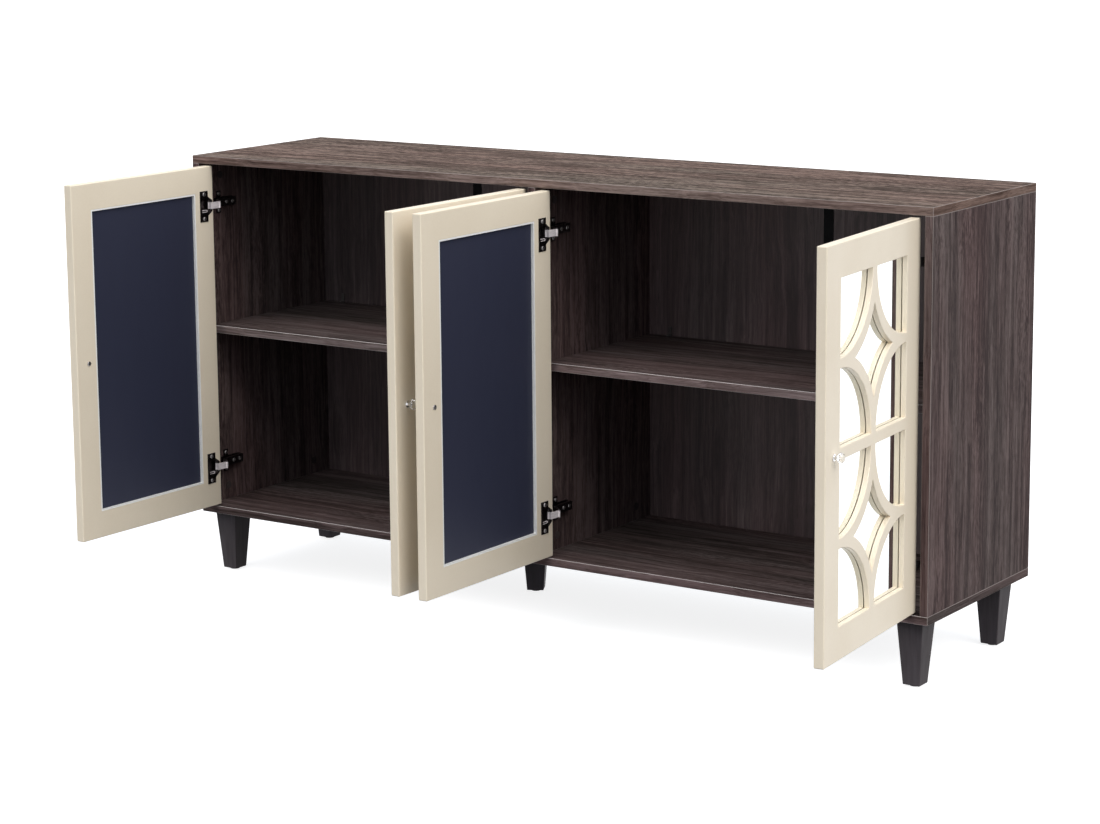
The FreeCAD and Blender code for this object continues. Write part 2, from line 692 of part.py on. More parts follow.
def doors():
    door_pieces = (
        ("panel", door_panel()),
        ("mirror", door_mirror()),
        ("mirror_bead", mirror_bead()),
        ("knob_base", knob_base()),
        ("knob_head", knob_head()),
        ("hinge_cups", hinge_cups()),
        ("screws", door_screws()),
    )
    links = hinge_links()
    fixed_pieces = (
        ("hinge_arms", hinge_arm(), []),
        ("hinge_mounting_plates", hinge_plate(), []),
        ("hinge_plate_screws", plate_screws(), []),
    )
    for name, side, face, opening in DOORS:
        door_place, link_place, arm_place = door_places(side, face, opening)
        for piece, source in door_pieces:
            label = name + "_" + piece
            node(set_out(label, source, side, door_place), label)
        label = name + "_hinge_links"
        node(set_out(label, links, side, link_place), label)
        for piece, source, placed in fixed_pieces:
            placed.append(set_out(name + "_" + piece, source, side, arm_place))
    for piece, source, placed in fixed_pieces:
        node(gather(piece, placed), piece)


def export_nodes():
    doc.recompute()
    for item in doc.Objects:
        if "Invalid" in item.State or "Error" in item.State:
            raise RuntimeError("not built: " + item.Name + " " + str(item.State))
    os.makedirs("parts", exist_ok=True)
    for item in nodes:
        shape = item.Shape
        if shape.isNull() or not shape.isValid():
            raise RuntimeError("shape is not valid: " + item.Label)
        shape.exportStep("parts/" + item.Label + ".step")
        print(item.Label, len(shape.Solids), "solids", round(shape.Volume / 1000, 2), "cm3")
    print(len(nodes), "nodes")


carcass_boards()
shelves()
back_panels()
back_joint_strips()
legs()
leg_fixings()
shelf_pegs()
joint_covers()
back_clips()
doors()
export_nodes()
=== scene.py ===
# %% [markdown]
# # A long cupboard with four mirrored doors
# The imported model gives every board, door and hinge its true shape and place. This lesson adds what a
# solid model can't hold: the printed grain of the boards, the cream paint, the mirrors, cut-crystal knobs
# and screws with a cross in their heads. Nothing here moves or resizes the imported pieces.

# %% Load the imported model
import json
import math

import bpy
from mathutils import Matrix, Vector


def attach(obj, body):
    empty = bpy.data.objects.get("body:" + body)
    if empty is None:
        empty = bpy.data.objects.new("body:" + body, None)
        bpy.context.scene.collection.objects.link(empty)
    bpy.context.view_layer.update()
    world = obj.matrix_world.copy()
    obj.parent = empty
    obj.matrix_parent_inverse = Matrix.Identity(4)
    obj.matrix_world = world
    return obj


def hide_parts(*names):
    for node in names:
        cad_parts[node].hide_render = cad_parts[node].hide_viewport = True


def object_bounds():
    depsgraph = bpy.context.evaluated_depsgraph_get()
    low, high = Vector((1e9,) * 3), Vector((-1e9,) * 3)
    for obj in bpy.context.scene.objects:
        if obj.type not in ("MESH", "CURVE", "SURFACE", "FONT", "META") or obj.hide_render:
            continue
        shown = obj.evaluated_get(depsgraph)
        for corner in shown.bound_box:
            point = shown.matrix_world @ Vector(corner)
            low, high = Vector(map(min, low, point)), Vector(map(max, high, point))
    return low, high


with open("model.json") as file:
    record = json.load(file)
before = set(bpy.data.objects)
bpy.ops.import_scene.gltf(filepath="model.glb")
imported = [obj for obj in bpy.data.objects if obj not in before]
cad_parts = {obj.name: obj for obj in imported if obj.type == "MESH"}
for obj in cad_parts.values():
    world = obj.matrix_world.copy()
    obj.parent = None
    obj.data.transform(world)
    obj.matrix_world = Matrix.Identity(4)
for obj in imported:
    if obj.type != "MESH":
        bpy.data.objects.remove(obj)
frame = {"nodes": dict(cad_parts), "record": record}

cad_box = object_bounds()
print("packed pieces:", len(frame["nodes"]), "box:", [list(corner) for corner in cad_box])

# %% [markdown]
# ## The camera
# The picture was taken from the front right, with the camera well above the top board and far enough away
# that upright edges stay nearly parallel. The place and lens were found by fitting the corners of the
# boards and feet, so here they are only written down. The lens axis meets the picture above its middle,
# as with a view camera whose lens is lowered, and Blender calls that a shift.

# %% Camera
PICTURE_WIDTH = 1100
PICTURE_HEIGHT = 824
SENSOR_WIDTH = 36.0
FOCAL_LENGTH_IN_PIXELS = 2883.6
LENS_AXIS_ROW = 350
CAMERA_PLACE = Vector((2.9129, -4.4426, 1.4316))
CAMERA_YAW, CAMERA_PITCH, CAMERA_ROLL = 0.59564, 0.17561, -0.00846
FARTHEST_SEEN = 100.0

bpy.ops.object.select_all(action="DESELECT")
bpy.ops.object.camera_add()
camera = bpy.context.object
camera.matrix_world = (
    Matrix.Translation(CAMERA_PLACE)
    @ Matrix.Rotation(CAMERA_YAW, 4, "Z")
    @ Matrix.Rotation(math.pi / 2 - CAMERA_PITCH, 4, "X")
    @ Matrix.Rotation(CAMERA_ROLL, 4, "Z")
)
camera.data.sensor_width = SENSOR_WIDTH
camera.data.lens = SENSOR_WIDTH * FOCAL_LENGTH_IN_PIXELS / PICTURE_WIDTH
camera.data.shift_y = (LENS_AXIS_ROW - PICTURE_HEIGHT / 2) / PICTURE_WIDTH
camera.data.clip_end = FARTHEST_SEEN
bpy.context.scene.camera = camera
bpy.context.scene.view_settings.view_transform = "Standard"
print("lens", round(camera.data.lens, 2), "mm, shift", round(camera.data.shift_y, 4))

# %% [markdown]
# ## Helpers for building finishes
# A finish is a small network of nodes that ends in one Principled shader. These helpers add a node, wire
# it and hand back its output, so that each finish below reads like a recipe: where am I on the piece,
# which pattern is there, what colour and gloss does that give.

# %% Node helpers
NOISE_LOW, NOISE_HIGH = 0.3, 0.7
BEVEL_SAMPLES = 6
FLAT_AGREEMENT, EDGE_AGREEMENT = 0.98, 0.75


def start_finish(name):
    """A new material with its node tree and its shader."""
    material = bpy.data.materials.new(name)
    material.use_nodes = True
    tree = material.node_tree
    return material, tree, tree.nodes["Principled BSDF"]


def add_node(tree, kind, **settings):
    node = tree.nodes.new(kind)
    for setting, value in settings.items():
        setattr(node, setting, value)
    return node


def feed(tree, socket, value):
    """Wire an output into a socket, or write a plain number or colour on it."""
    if isinstance(value, bpy.types.NodeSocket):
        tree.links.new(value, socket)
    else:
        socket.default_value = value


def place_on_piece(tree):
    return add_node(tree, "ShaderNodeTexCoord").outputs["Object"]


def noise(tree, place, per_metre, detail=3.0, roughness=0.55, shift=(0.0, 0.0, 0.0)):
    """Noise with its own number of blotches per metre along X, Y and Z."""
    mapping = add_node(tree, "ShaderNodeMapping")
    feed(tree, mapping.inputs["Vector"], place)
    mapping.inputs["Location"].default_value = shift
    mapping.inputs["Scale"].default_value = per_metre
    texture = add_node(tree, "ShaderNodeTexNoise")
    feed(tree, texture.inputs["Vector"], mapping.outputs["Vector"])
    texture.inputs["Scale"].default_value = 1.0
    texture.inputs["Detail"].default_value = detail
    texture.inputs["Roughness"].default_value = roughness
    return texture.outputs["Fac"]


def calculate(tree, operation, first, second=0.0, third=0.0):
    node = add_node(tree, "ShaderNodeMath", operation=operation)
    for socket, value in zip(node.inputs, (first, second, third)):
        feed(tree, socket, value)
    return node.outputs["Value"]


def rescale(tree, value, low, high, new_low, new_high):
    """A value from low to high becomes one from new_low to new_high, and stops there."""
    node = add_node(tree, "ShaderNodeMapRange", clamp=True)
    feed(tree, node.inputs["Value"], value)
    limits = {"From Min": low, "From Max": high, "To Min": new_low, "To Max": new_high}
    for socket, number in limits.items():
        node.inputs[socket].default_value = number
    return node.outputs["Result"]


def mask(tree, value, none_at, full_at):
    """0 where a value is none_at, 1 where it is full_at, and a ramp between them."""
    return rescale(tree, value, none_at, full_at, 0.0, 1.0)


def blend(tree, fine, coarse, fine_share):
    coarse_part = calculate(tree, "MULTIPLY", coarse, 1.0 - fine_share)
    return calculate(tree, "MULTIPLY_ADD", fine, fine_share, coarse_part)


def colour_ramp(tree, value, stops):
    node = add_node(tree, "ShaderNodeValToRGB")
    feed(tree, node.inputs["Fac"], value)
    elements = node.color_ramp.elements
    while len(elements) < len(stops):
        elements.new(0.5)
    for element, (position, colour) in zip(elements, stops):
        element.position = position
        element.color = (*colour, 1.0)
    return node.outputs["Color"]


def mix_colour(tree, share, first, second, way="MIX"):
    node = add_node(tree, "ShaderNodeMix", data_type="RGBA", blend_type=way)
    sockets = [socket for socket in node.inputs if socket.type == "RGBA"]
    feed(tree, node.inputs["Factor"], share)
    for socket, colour in zip(sockets, (first, second)):
        feed(tree, socket, (*colour, 1.0) if isinstance(colour, tuple) else colour)
    return [socket for socket in node.outputs if socket.type == "RGBA"][0]


def tinted(tree, share, colour, tint):
    return mix_colour(tree, share, colour, mix_colour(tree, 1.0, colour, tint, "MULTIPLY"))


def set_roughness(tree, shader, pattern, at_low, at_high, low=NOISE_LOW, high=NOISE_HIGH):
    """Roughness that follows a pattern between its low and its high places."""
    feed(tree, shader.inputs["Roughness"], rescale(tree, pattern, low, high, at_low, at_high))


def raise_surface(tree, shader, height, strength, distance):
    bump = add_node(tree, "ShaderNodeBump")
    bump.inputs["Strength"].default_value = strength
    bump.inputs["Distance"].default_value = distance
    feed(tree, bump.inputs["Height"], height)
    feed(tree, shader.inputs["Normal"], bump.outputs["Normal"])


def near_edge(tree, reach):
    """1 on a sharp edge and 0 further in than reach, found by comparing the flat and the rounded normal."""
    rounded = add_node(tree, "ShaderNodeBevel", samples=BEVEL_SAMPLES)
    rounded.inputs["Radius"].default_value = reach
    flat = add_node(tree, "ShaderNodeNewGeometry")
    agreement = add_node(tree, "ShaderNodeVectorMath", operation="DOT_PRODUCT")
    feed(tree, agreement.inputs[0], rounded.outputs["Normal"])
    feed(tree, agreement.inputs[1], flat.outputs["Normal"])
    return mask(tree, agreement.outputs["Value"], FLAT_AGREEMENT, EDGE_AGREEMENT)


def facing(tree, axis):
    """How much the surface faces along an axis of the piece, from -1 to 1."""
    normal = add_node(tree, "ShaderNodeNewGeometry").outputs["Normal"]
    split = add_node(tree, "ShaderNodeSeparateXYZ")
    feed(tree, split.inputs["Vector"], normal)
    return split.outputs[axis]


def facing_either_way(tree, axis):
    return calculate(tree, "ABSOLUTE", facing(tree, axis))


print("node helpers are ready")

# %% [markdown]
# ## Light, sky and floor
# The object stands in a white studio. Two soft lamps are on the right, one high and one low, and a third
# is high in front, so the top and the open doors are bright and the bays stay dark. The room fills in from
# all sides. It is white where the camera, a mirror or glass looks at it, but weaker and cooler as a lamp,
# so the boards aren't washed out. The floor glows for the camera, so it stays white and still takes a soft
# shadow.

# %% Studio
WHITE = (1.0, 1.0, 1.0)
LAMP_WHITE = (1.0, 0.98, 0.955)
SKY_AS_LAMP = (0.44, 0.49, 0.57)
FLOOR_PALE = (0.5, 0.5, 0.5)
FLOOR_AS_LAMP = (0.05, 0.05, 0.05)
FLOOR_GLOW = 0.83
FLOOR_ROUGHNESS = 0.9
FLOOR_SIZE = 80.0
FLOOR_DIP = 0.0005
# Each lamp: the way it comes from, its level and how many degrees wide it looks
LAMPS = {
    "high_right_lamp": ((2.4, -0.7, 3.0), 0.46, 40.0),
    "low_right_lamp": ((2.4, -0.38, 0.95), 0.39, 60.0),
    "front_lamp": ((-0.4, -1.9, 2.4), 0.53, 45.0),
}


def seen_directly(tree):
    """1 for the camera's own rays and for rays that a mirror or glass sends on."""
    path = add_node(tree, "ShaderNodeLightPath")
    seen = calculate(tree, "MAXIMUM", path.outputs["Is Camera Ray"], path.outputs["Is Glossy Ray"])
    return calculate(tree, "MAXIMUM", seen, path.outputs["Is Transmission Ray"])


def white_room():
    world = bpy.data.worlds.new("white_room")
    world.use_nodes = True
    tree = world.node_tree
    sky = tree.nodes["Background"]
    feed(tree, sky.inputs["Color"], mix_colour(tree, seen_directly(tree), SKY_AS_LAMP, WHITE))
    bpy.context.scene.world = world


def floor_finish():
    material, tree, shader = start_finish("studio_floor")
    floor_colour = mix_colour(tree, seen_directly(tree), FLOOR_AS_LAMP, FLOOR_PALE)
    feed(tree, shader.inputs["Base Color"], floor_colour)
    shader.inputs["Roughness"].default_value = FLOOR_ROUGHNESS
    shader.inputs["Specular IOR Level"].default_value = 0.0
    shader.inputs["Emission Color"].default_value = (*WHITE, 1.0)
    glow = calculate(tree, "MULTIPLY", seen_directly(tree), FLOOR_GLOW)
    feed(tree, shader.inputs["Emission Strength"], glow)
    return material


def lay_floor():
    bpy.ops.object.select_all(action="DESELECT")
    bpy.ops.mesh.primitive_plane_add(size=FLOOR_SIZE, location=(0.0, 0.0, cad_box[0].z - FLOOR_DIP))
    floor = bpy.context.object
    floor.name = "floor"
    floor.data.materials.append(floor_finish())


def hang_lamp(name, comes_from, level, softness):
    """A far, wide lamp. At level 1, a surface square to it shows its own colour."""
    bpy.ops.object.light_add(type="SUN", location=comes_from)
    lamp = bpy.context.object
    lamp.name = name
    lamp.data.energy = math.pi * level
    lamp.data.angle = math.radians(softness)
    lamp.data.color = LAMP_WHITE
    lamp.rotation_euler = (-Vector(comes_from)).to_track_quat("-Z", "Y").to_euler()


white_room()
lay_floor()
for name, setting in LAMPS.items():
    hang_lamp(name, *setting)
print("studio ready, floor at", round(cad_box[0].z - FLOOR_DIP, 4))

# %% [markdown]
# ## Printed wood
# The boards are chipboard under a printed woodgrain: grey-brown streaks, dark pores like pen strokes and a
# few pale threads, all running one way. Noise stretched many times along the grain gives each of them.
# Short flecks and curl on top make the figure, which differs from board to board. Long boards carry the
# grain along X and upright ones along Z, so the recipe takes the direction as a setting. Edges get a thin
# band whose grain runs along the edge. Its faces that look forwards are paler, partly the band's own tone
# and partly painted light, and the corners of the edges carry pale lines, which are painted highlights.
# The boards share one laminate, whose copies differ as painted light and shade: the top's is paler and
# warmer, the shelves' cooler and the uprights' darker.

# %% Woodgrain laminate
# Three shades of each wood, from its dark streaks to its pale ones, and the tones that get them
# One laminate in three copies: the top's paler and warmer, the shelves' cooler, the uprights' darker, as
# painted light and shade
TOP_WOOD_PAINTED_PALER = ((0.035, 0.023, 0.018), (0.098, 0.068, 0.055), (0.198, 0.145, 0.120))
SHELF_WOOD_PAINTED_COOLER = ((0.036, 0.027, 0.025), (0.080, 0.060, 0.058), (0.140, 0.110, 0.108))
UPRIGHT_WOOD_PAINTED_DARKER = ((0.036, 0.025, 0.025), (0.077, 0.054, 0.052), (0.132, 0.098, 0.094))
SHADE_TONES = (0.41, 0.50, 0.59)
LONG_SHEEN, UPRIGHT_SHEEN = 0.015, 0.04
# Planks, stripes, streaks and threads: how many per metre along and across the grain, the detail and
# roughness of their noise and their share of the tone
GRAIN_LAYERS = (
    (0.6, 9.0, 1.0, 0.55, 0.20),
    (1.2, 55.0, 3.0, 0.60, 0.32),
    (4.5, 170.0, 3.0, 0.62, 0.32),
    (8.0, 640.0, 2.0, 0.60, 0.16),
)
# A board's figure: flecks per metre along and across the grain, their strength and that of the curl
TOP_FIGURE = (7.5, 72.0, 0.66, 0.48)
SHELF_FIGURE = (18.0, 90.0, 0.12, 0.06)
UPRIGHT_FIGURE = (8.0, 95.0, 0.40, 0.14)
FLECK_DETAIL, FLECK_ROUGHNESS = 5.0, 0.78
# Other patterns, also per metre along and across the grain, with shifts that keep them apart
WANDER_SIZE, CURL_SIZE, CURLY_PATCH_SIZE = (3.2, 7.0), (75.0, 330.0), (1.6, 10.0)
HUE_SIZE, PALE_THREAD_SIZE, PORE_SIZE = (0.9, 7.0), (1.8, 420.0), (24.0, 1100.0)
PATCH_SHIFT, HUE_SHIFT, PALE_THREAD_SHIFT = (3.0, 5.0, 7.0), (1.0, 2.0, 4.0), (2.0, 6.0, 9.0)
GRAIN_WANDER = 0.0100
EXTRA_CURL_IN_PATCH = 0.34
GREY_PLANK, PINK_PLANK = (0.95, 1.00, 0.98), (1.07, 0.98, 0.97)
THREAD_LIGHT = (1.55, 1.55, 1.55)
PORE_SHADE = (0.50, 0.47, 0.46)
THREAD_SHARE, PORE_SHARE, PORE_DEPTH = 0.8, 0.8, 0.7
# The front band's tints: partly the band's own paler tone, partly painted light on the faces that look
# forwards
TOP_BAND_TONE_AND_LIGHT, SHELF_BAND_TONE_AND_LIGHT = (1.40, 1.36, 1.46), (2.10, 2.15, 2.15)
BOTTOM_BAND_TONE_AND_LIGHT, BAND_TONE_AND_LIGHT = (1.60, 1.54, 1.56), (1.20, 1.16, 1.20)
BAND_CALM = 0.15
# Pale lines on sharp edges and chamfers are painted highlights, brighter on the shelves' level front edges
EDGE_HIGHLIGHT, PALE_EDGE_HIGHLIGHT = (0.34, 0.30, 0.28), (0.86, 0.80, 0.77)
EDGE_HIGHLIGHT_REACH, EDGE_HIGHLIGHT_STRENGTH = 0.0016, 0.65
SQUARE_FACE = 0.9


def along_grain(grain, with_grain, across):
    """Blotches per metre, few along the grain and many across it."""
    return tuple(with_grain if axis == grain else across for axis in "XYZ")


def turned_at_ends(tree, place):
    """On the ends of a long board the band's grain runs front to back, so X and Y change places there."""
    split = add_node(tree, "ShaderNodeSeparateXYZ")
    feed(tree, split.inputs["Vector"], place)
    swapped = add_node(tree, "ShaderNodeCombineXYZ")
    for target, source in (("X", "Y"), ("Y", "X"), ("Z", "Z")):
        feed(tree, swapped.inputs[target], split.outputs[source])
    on_end = calculate(tree, "GREATER_THAN", facing_either_way(tree, "X"), 0.7)
    mix = add_node(tree, "ShaderNodeMix", data_type="VECTOR")
    first, second = [socket for socket in mix.inputs if socket.type == "VECTOR" and socket.name in "AB"]
    feed(tree, mix.inputs["Factor"], on_end)
    feed(tree, first, place)
    feed(tree, second, swapped.outputs["Vector"])
    return [socket for socket in mix.outputs if socket.type == "VECTOR"][0]


def wandering(tree, place, grain):
    """The place, pushed a little to and fro, so that the streaks aren't ruled lines."""
    push = noise(tree, place, along_grain(grain, *WANDER_SIZE))
    push = rescale(tree, push, 0.2, 0.8, -GRAIN_WANDER, GRAIN_WANDER)
    pushed = add_node(tree, "ShaderNodeVectorMath", operation="ADD")
    feed(tree, pushed.inputs[0], place)
    feed(tree, pushed.inputs[1], push)
    return pushed.outputs["Vector"]


def on_front(tree):
    """1 on the banded front edge of a board."""
    return mask(tree, facing(tree, "Y"), none_at=-0.7, full_at=-0.9)


def on_band(tree, grain):
    """1 on every banded edge: the front of each board, and also the ends of a long one."""
    if grain != "X":
        return on_front(tree)
    on_end = mask(tree, facing_either_way(tree, "X"), none_at=0.7, full_at=0.9)
    return calculate(tree, "MAXIMUM", on_front(tree), on_end)


def on_chamfer(tree):
    """1 on the narrow slanted faces along a board's edges, which face no single axis."""
    squareness = facing_either_way(tree, "X")
    for axis in "YZ":
        squareness = calculate(tree, "MAXIMUM", squareness, facing_either_way(tree, axis))
    return calculate(tree, "LESS_THAN", squareness, SQUARE_FACE)


def on_level_front_edge(tree):
    """1 on what faces forwards but not sideways, so that the upright corners are left out."""
    forwards = mask(tree, facing(tree, "Y"), none_at=-0.3, full_at=-0.6)
    not_sideways = mask(tree, facing_either_way(tree, "X"), none_at=0.4, full_at=0.2)
    return calculate(tree, "MULTIPLY", forwards, not_sideways)


def above_or_below(tree, pattern, strength):
    """A noise pattern, moved so that its middle is 0, times a strength."""
    return calculate(tree, "MULTIPLY", calculate(tree, "SUBTRACT", pattern, 0.5), strength)


def grain_tone(tree, place, grain, figure):
    """Light and dark along the grain, and the threads alone, which are its finest layer."""
    tone = 0.0
    for with_grain, across, detail, roughness, share in GRAIN_LAYERS:
        layer = noise(tree, place, along_grain(grain, with_grain, across), detail, roughness)
        tone = calculate(tree, "MULTIPLY_ADD", layer, share, tone)
    with_grain, across, strength, least_curl = figure
    patch = noise(tree, place, along_grain(grain, *CURLY_PATCH_SIZE), detail=1.0, shift=PATCH_SHIFT)
    curl_strength = rescale(tree, patch, 0.55, 0.68, least_curl, least_curl + EXTRA_CURL_IN_PATCH)
    curl = noise(tree, place, along_grain(grain, *CURL_SIZE), detail=2.0)
    curl = above_or_below(tree, curl, curl_strength)
    flecks = noise(tree, place, along_grain(grain, with_grain, across), FLECK_DETAIL, FLECK_ROUGHNESS)
    flecks = calculate(tree, "ADD", above_or_below(tree, flecks, strength), curl)
    calm = rescale(tree, on_band(tree, grain), 0.0, 1.0, 1.0, BAND_CALM)
    return calculate(tree, "ADD", tone, calculate(tree, "MULTIPLY", flecks, calm)), layer


def printed_colour(tree, place, grain, tone, wood_colours):
    """The tone as a wood colour, with a little change of hue and a few pale threads."""
    wood = colour_ramp(tree, tone, tuple(zip(SHADE_TONES, wood_colours)))
    hue = noise(tree, place, along_grain(grain, *HUE_SIZE), detail=2.0, shift=HUE_SHIFT)
    hue_tint = colour_ramp(tree, hue, ((0.38, GREY_PLANK), (0.62, PINK_PLANK)))
    wood = mix_colour(tree, 1.0, wood, hue_tint, "MULTIPLY")
    pale = noise(tree, place, along_grain(grain, *PALE_THREAD_SIZE), detail=1.0, shift=PALE_THREAD_SHIFT)
    return tinted(tree, rescale(tree, pale, 0.64, 0.76, 0.0, THREAD_SHARE), wood, THREAD_LIGHT)


def woodgrain(name, grain, wood_colours, sheen, figure, band_tone_and_light=BAND_TONE_AND_LIGHT, front_highlight=EDGE_HIGHLIGHT):
    material, tree, shader = start_finish(name)
    place = place_on_piece(tree)
    if grain == "X":
        place = turned_at_ends(tree, place)
    place = wandering(tree, place, grain)
    tone, thread = grain_tone(tree, place, grain, figure)
    wood = printed_colour(tree, place, grain, tone, wood_colours)
    pores = noise(tree, place, along_grain(grain, *PORE_SIZE), detail=2.0)
    pores = rescale(tree, pores, 0.56, 0.66, 0.0, PORE_SHARE)
    wood = tinted(tree, pores, wood, PORE_SHADE)
    # The forward-facing band: its own paler tone plus painted light
    wood = tinted(tree, on_front(tree), wood, band_tone_and_light)
    # Painted highlights along sharp edges and on chamfers
    edges = calculate(tree, "MAXIMUM", near_edge(tree, EDGE_HIGHLIGHT_REACH), on_chamfer(tree))
    edges = calculate(tree, "MULTIPLY", edges, EDGE_HIGHLIGHT_STRENGTH)
    highlight_colour = mix_colour(tree, on_level_front_edge(tree), EDGE_HIGHLIGHT, front_highlight)
    feed(tree, shader.inputs["Base Color"], mix_colour(tree, edges, wood, highlight_colour))
    set_roughness(tree, shader, tone, at_low=0.60, at_high=0.48, low=0.4, high=0.6)
    shader.inputs["Specular IOR Level"].default_value = sheen
    height = calculate(tree, "MULTIPLY_ADD", pores, -PORE_DEPTH, thread)
    raise_surface(tree, shader, height, strength=0.12, distance=0.0004)
    return material


top_grain = woodgrain("woodgrain_top", "X", TOP_WOOD_PAINTED_PALER, LONG_SHEEN, TOP_FIGURE, TOP_BAND_TONE_AND_LIGHT)
shelf_grain = woodgrain(
    "woodgrain_shelf", "X", SHELF_WOOD_PAINTED_COOLER, LONG_SHEEN, SHELF_FIGURE, SHELF_BAND_TONE_AND_LIGHT, PALE_EDGE_HIGHLIGHT)
bottom_grain = woodgrain(
    "woodgrain_bottom", "X", SHELF_WOOD_PAINTED_COOLER, LONG_SHEEN, SHELF_FIGURE, BOTTOM_BAND_TONE_AND_LIGHT, PALE_EDGE_HIGHLIGHT)
upright_grain = woodgrain("woodgrain_upright", "Z", UPRIGHT_WOOD_PAINTED_DARKER, UPRIGHT_SHEEN, UPRIGHT_FIGURE)
print("woodgrain:", top_grain.name, shelf_grain.name, bottom_grain.name, upright_grain.name)

# %% [markdown]
# ## Back sheets
# The back is thin fibreboard. Its inside carries the same print as the uprights, and its outside is plain
# brown board with short fibres in it. One finish shows both: the side that faces backwards gets the fibres.

# %% Back sheet
BACK_SHEEN = 0.58
FIBRE_DARK = (0.060, 0.042, 0.030)
FIBRE_LIGHT = (0.125, 0.090, 0.064)
EXTRA_ROUGHNESS_OUTSIDE = 0.3


def printed_back():
    material = woodgrain("back_sheet", "Z", UPRIGHT_WOOD_PAINTED_DARKER, BACK_SHEEN, UPRIGHT_FIGURE)
    tree = material.node_tree
    shader = tree.nodes["Principled BSDF"]
    print_colour = shader.inputs["Base Color"].links[0].from_socket
    print_roughness = shader.inputs["Roughness"].links[0].from_socket
    fibre = noise(tree, place_on_piece(tree), per_metre=(420.0, 420.0, 260.0), detail=5.0, roughness=0.7)
    board = colour_ramp(tree, fibre, ((0.35, FIBRE_DARK), (0.65, FIBRE_LIGHT)))
    outside = mask(tree, facing(tree, "Y"), none_at=0.5, full_at=0.6)
    feed(tree, shader.inputs["Base Color"], mix_colour(tree, outside, print_colour, board))
    roughness = calculate(tree, "MULTIPLY_ADD", outside, EXTRA_ROUGHNESS_OUTSIDE, print_roughness)
    feed(tree, shader.inputs["Roughness"], roughness)
    return material


back_sheet = printed_back()
print("back sheet:", back_sheet.name)

# %% [markdown]
# ## Paint, bead and mirror backing
# The doors are sprayed cream over a smooth board, which leaves a satin skin with a slight orange peel, and
# the sharp edges of the fretwork are a paler cream. The bead behind the mirror is white plastic. The
# mirror's back is a dark blue protective coat, rolled on, so its gloss is uneven.

# %% Paint finishes
CREAM = (0.825, 0.726, 0.574)
CREAM_SHADE = (0.785, 0.684, 0.532)
CREAM_EDGE = (0.860, 0.785, 0.665)
CREAM_EDGE_REACH, CREAM_EDGE_STRENGTH = 0.0012, 0.5
BEAD_WHITE = (0.930, 0.920, 0.895)
BEAD_SHADE = (0.880, 0.870, 0.845)
NAVY = (0.0215, 0.0240, 0.0450)
NAVY_LIGHT = (0.0245, 0.0275, 0.0500)
NAVY_SHEEN = 0.3


def cream_paint():
    material, tree, shader = start_finish("cream_paint")
    place = place_on_piece(tree)
    cloud = noise(tree, place, per_metre=(7.0, 7.0, 5.0))
    speck = noise(tree, place, per_metre=(240.0, 240.0, 240.0), detail=2.0)
    tone = blend(tree, speck, cloud, fine_share=0.25)
    paint = colour_ramp(tree, tone, ((0.32, CREAM_SHADE), (0.58, CREAM)))
    edges = calculate(tree, "MULTIPLY", near_edge(tree, CREAM_EDGE_REACH), CREAM_EDGE_STRENGTH)
    feed(tree, shader.inputs["Base Color"], mix_colour(tree, edges, paint, CREAM_EDGE))
    set_roughness(tree, shader, cloud, at_low=0.42, at_high=0.34)
    peel = noise(tree, place, per_metre=(520.0, 520.0, 520.0), detail=1.0)
    raise_surface(tree, shader, peel, strength=0.05, distance=0.0004)
    return material


def white_bead():
    material, tree, shader = start_finish("white_bead")
    streak = noise(tree, place_on_piece(tree), per_metre=(160.0, 160.0, 160.0))
    plastic = colour_ramp(tree, streak, ((0.3, BEAD_SHADE), (0.6, BEAD_WHITE)))
    feed(tree, shader.inputs["Base Color"], plastic)
    set_roughness(tree, shader, streak, at_low=0.38, at_high=0.28)
    raise_surface(tree, shader, streak, strength=0.04, distance=0.0003)
    return material


def navy_coat():
    material, tree, shader = start_finish("navy_coat")
    place = place_on_piece(tree)
    roller = noise(tree, place, per_metre=(9.0, 9.0, 3.5), detail=4.0)
    stipple = noise(tree, place, per_metre=(900.0, 900.0, 900.0), detail=1.0)
    coat_colour = colour_ramp(tree, roller, ((0.35, NAVY), (0.68, NAVY_LIGHT)))
    feed(tree, shader.inputs["Base Color"], coat_colour)
    set_roughness(tree, shader, roller, at_low=0.58, at_high=0.46)
    shader.inputs["Specular IOR Level"].default_value = NAVY_SHEEN
    raise_surface(tree, shader, stipple, strength=0.06, distance=0.0003)
    return material


cream = cream_paint()
bead = white_bead()
navy = navy_coat()
print("paints:", cream.name, bead.name, navy.name)

# %% [markdown]
# ## Mirror, crystal and metals
# A mirror is a metal with almost no roughness; faint wiping marks keep it from looking like a hole. The
# knobs are clear glass on a chrome foot. The hinges are plated black, with dull screws, a pale spring and
# a pale link. Metals differ mostly in colour and in how rough they are, so one recipe makes them all. Only
# the zinc coat of the link and the spring is mostly chalky, because it stays pale in the dark bay.

# %% Mirror, glass and metal finishes
MIRROR_SILVER = (0.90, 0.92, 0.915)
MIRROR_SMEAR = (0.86, 0.885, 0.88)
CRYSTAL_CLEAR = (0.985, 0.99, 0.99)
CRYSTAL_BENDING = 1.56
CHROME_BRIGHT, CHROME_DIM = (0.80, 0.80, 0.81), (0.66, 0.66, 0.67)
STEEL_BRIGHT, STEEL_DIM = (0.74, 0.72, 0.70), (0.56, 0.54, 0.52)
SCREW_BRIGHT, SCREW_DIM = (0.34, 0.33, 0.33), (0.20, 0.19, 0.19)
ZINC_PALE, ZINC_DIM = (0.88, 0.81, 0.81), (0.70, 0.64, 0.64)
ZINC_AS_METAL = 0.15
NICKEL_BRIGHT, NICKEL_DIM = (0.085, 0.075, 0.075), (0.040, 0.035, 0.036)


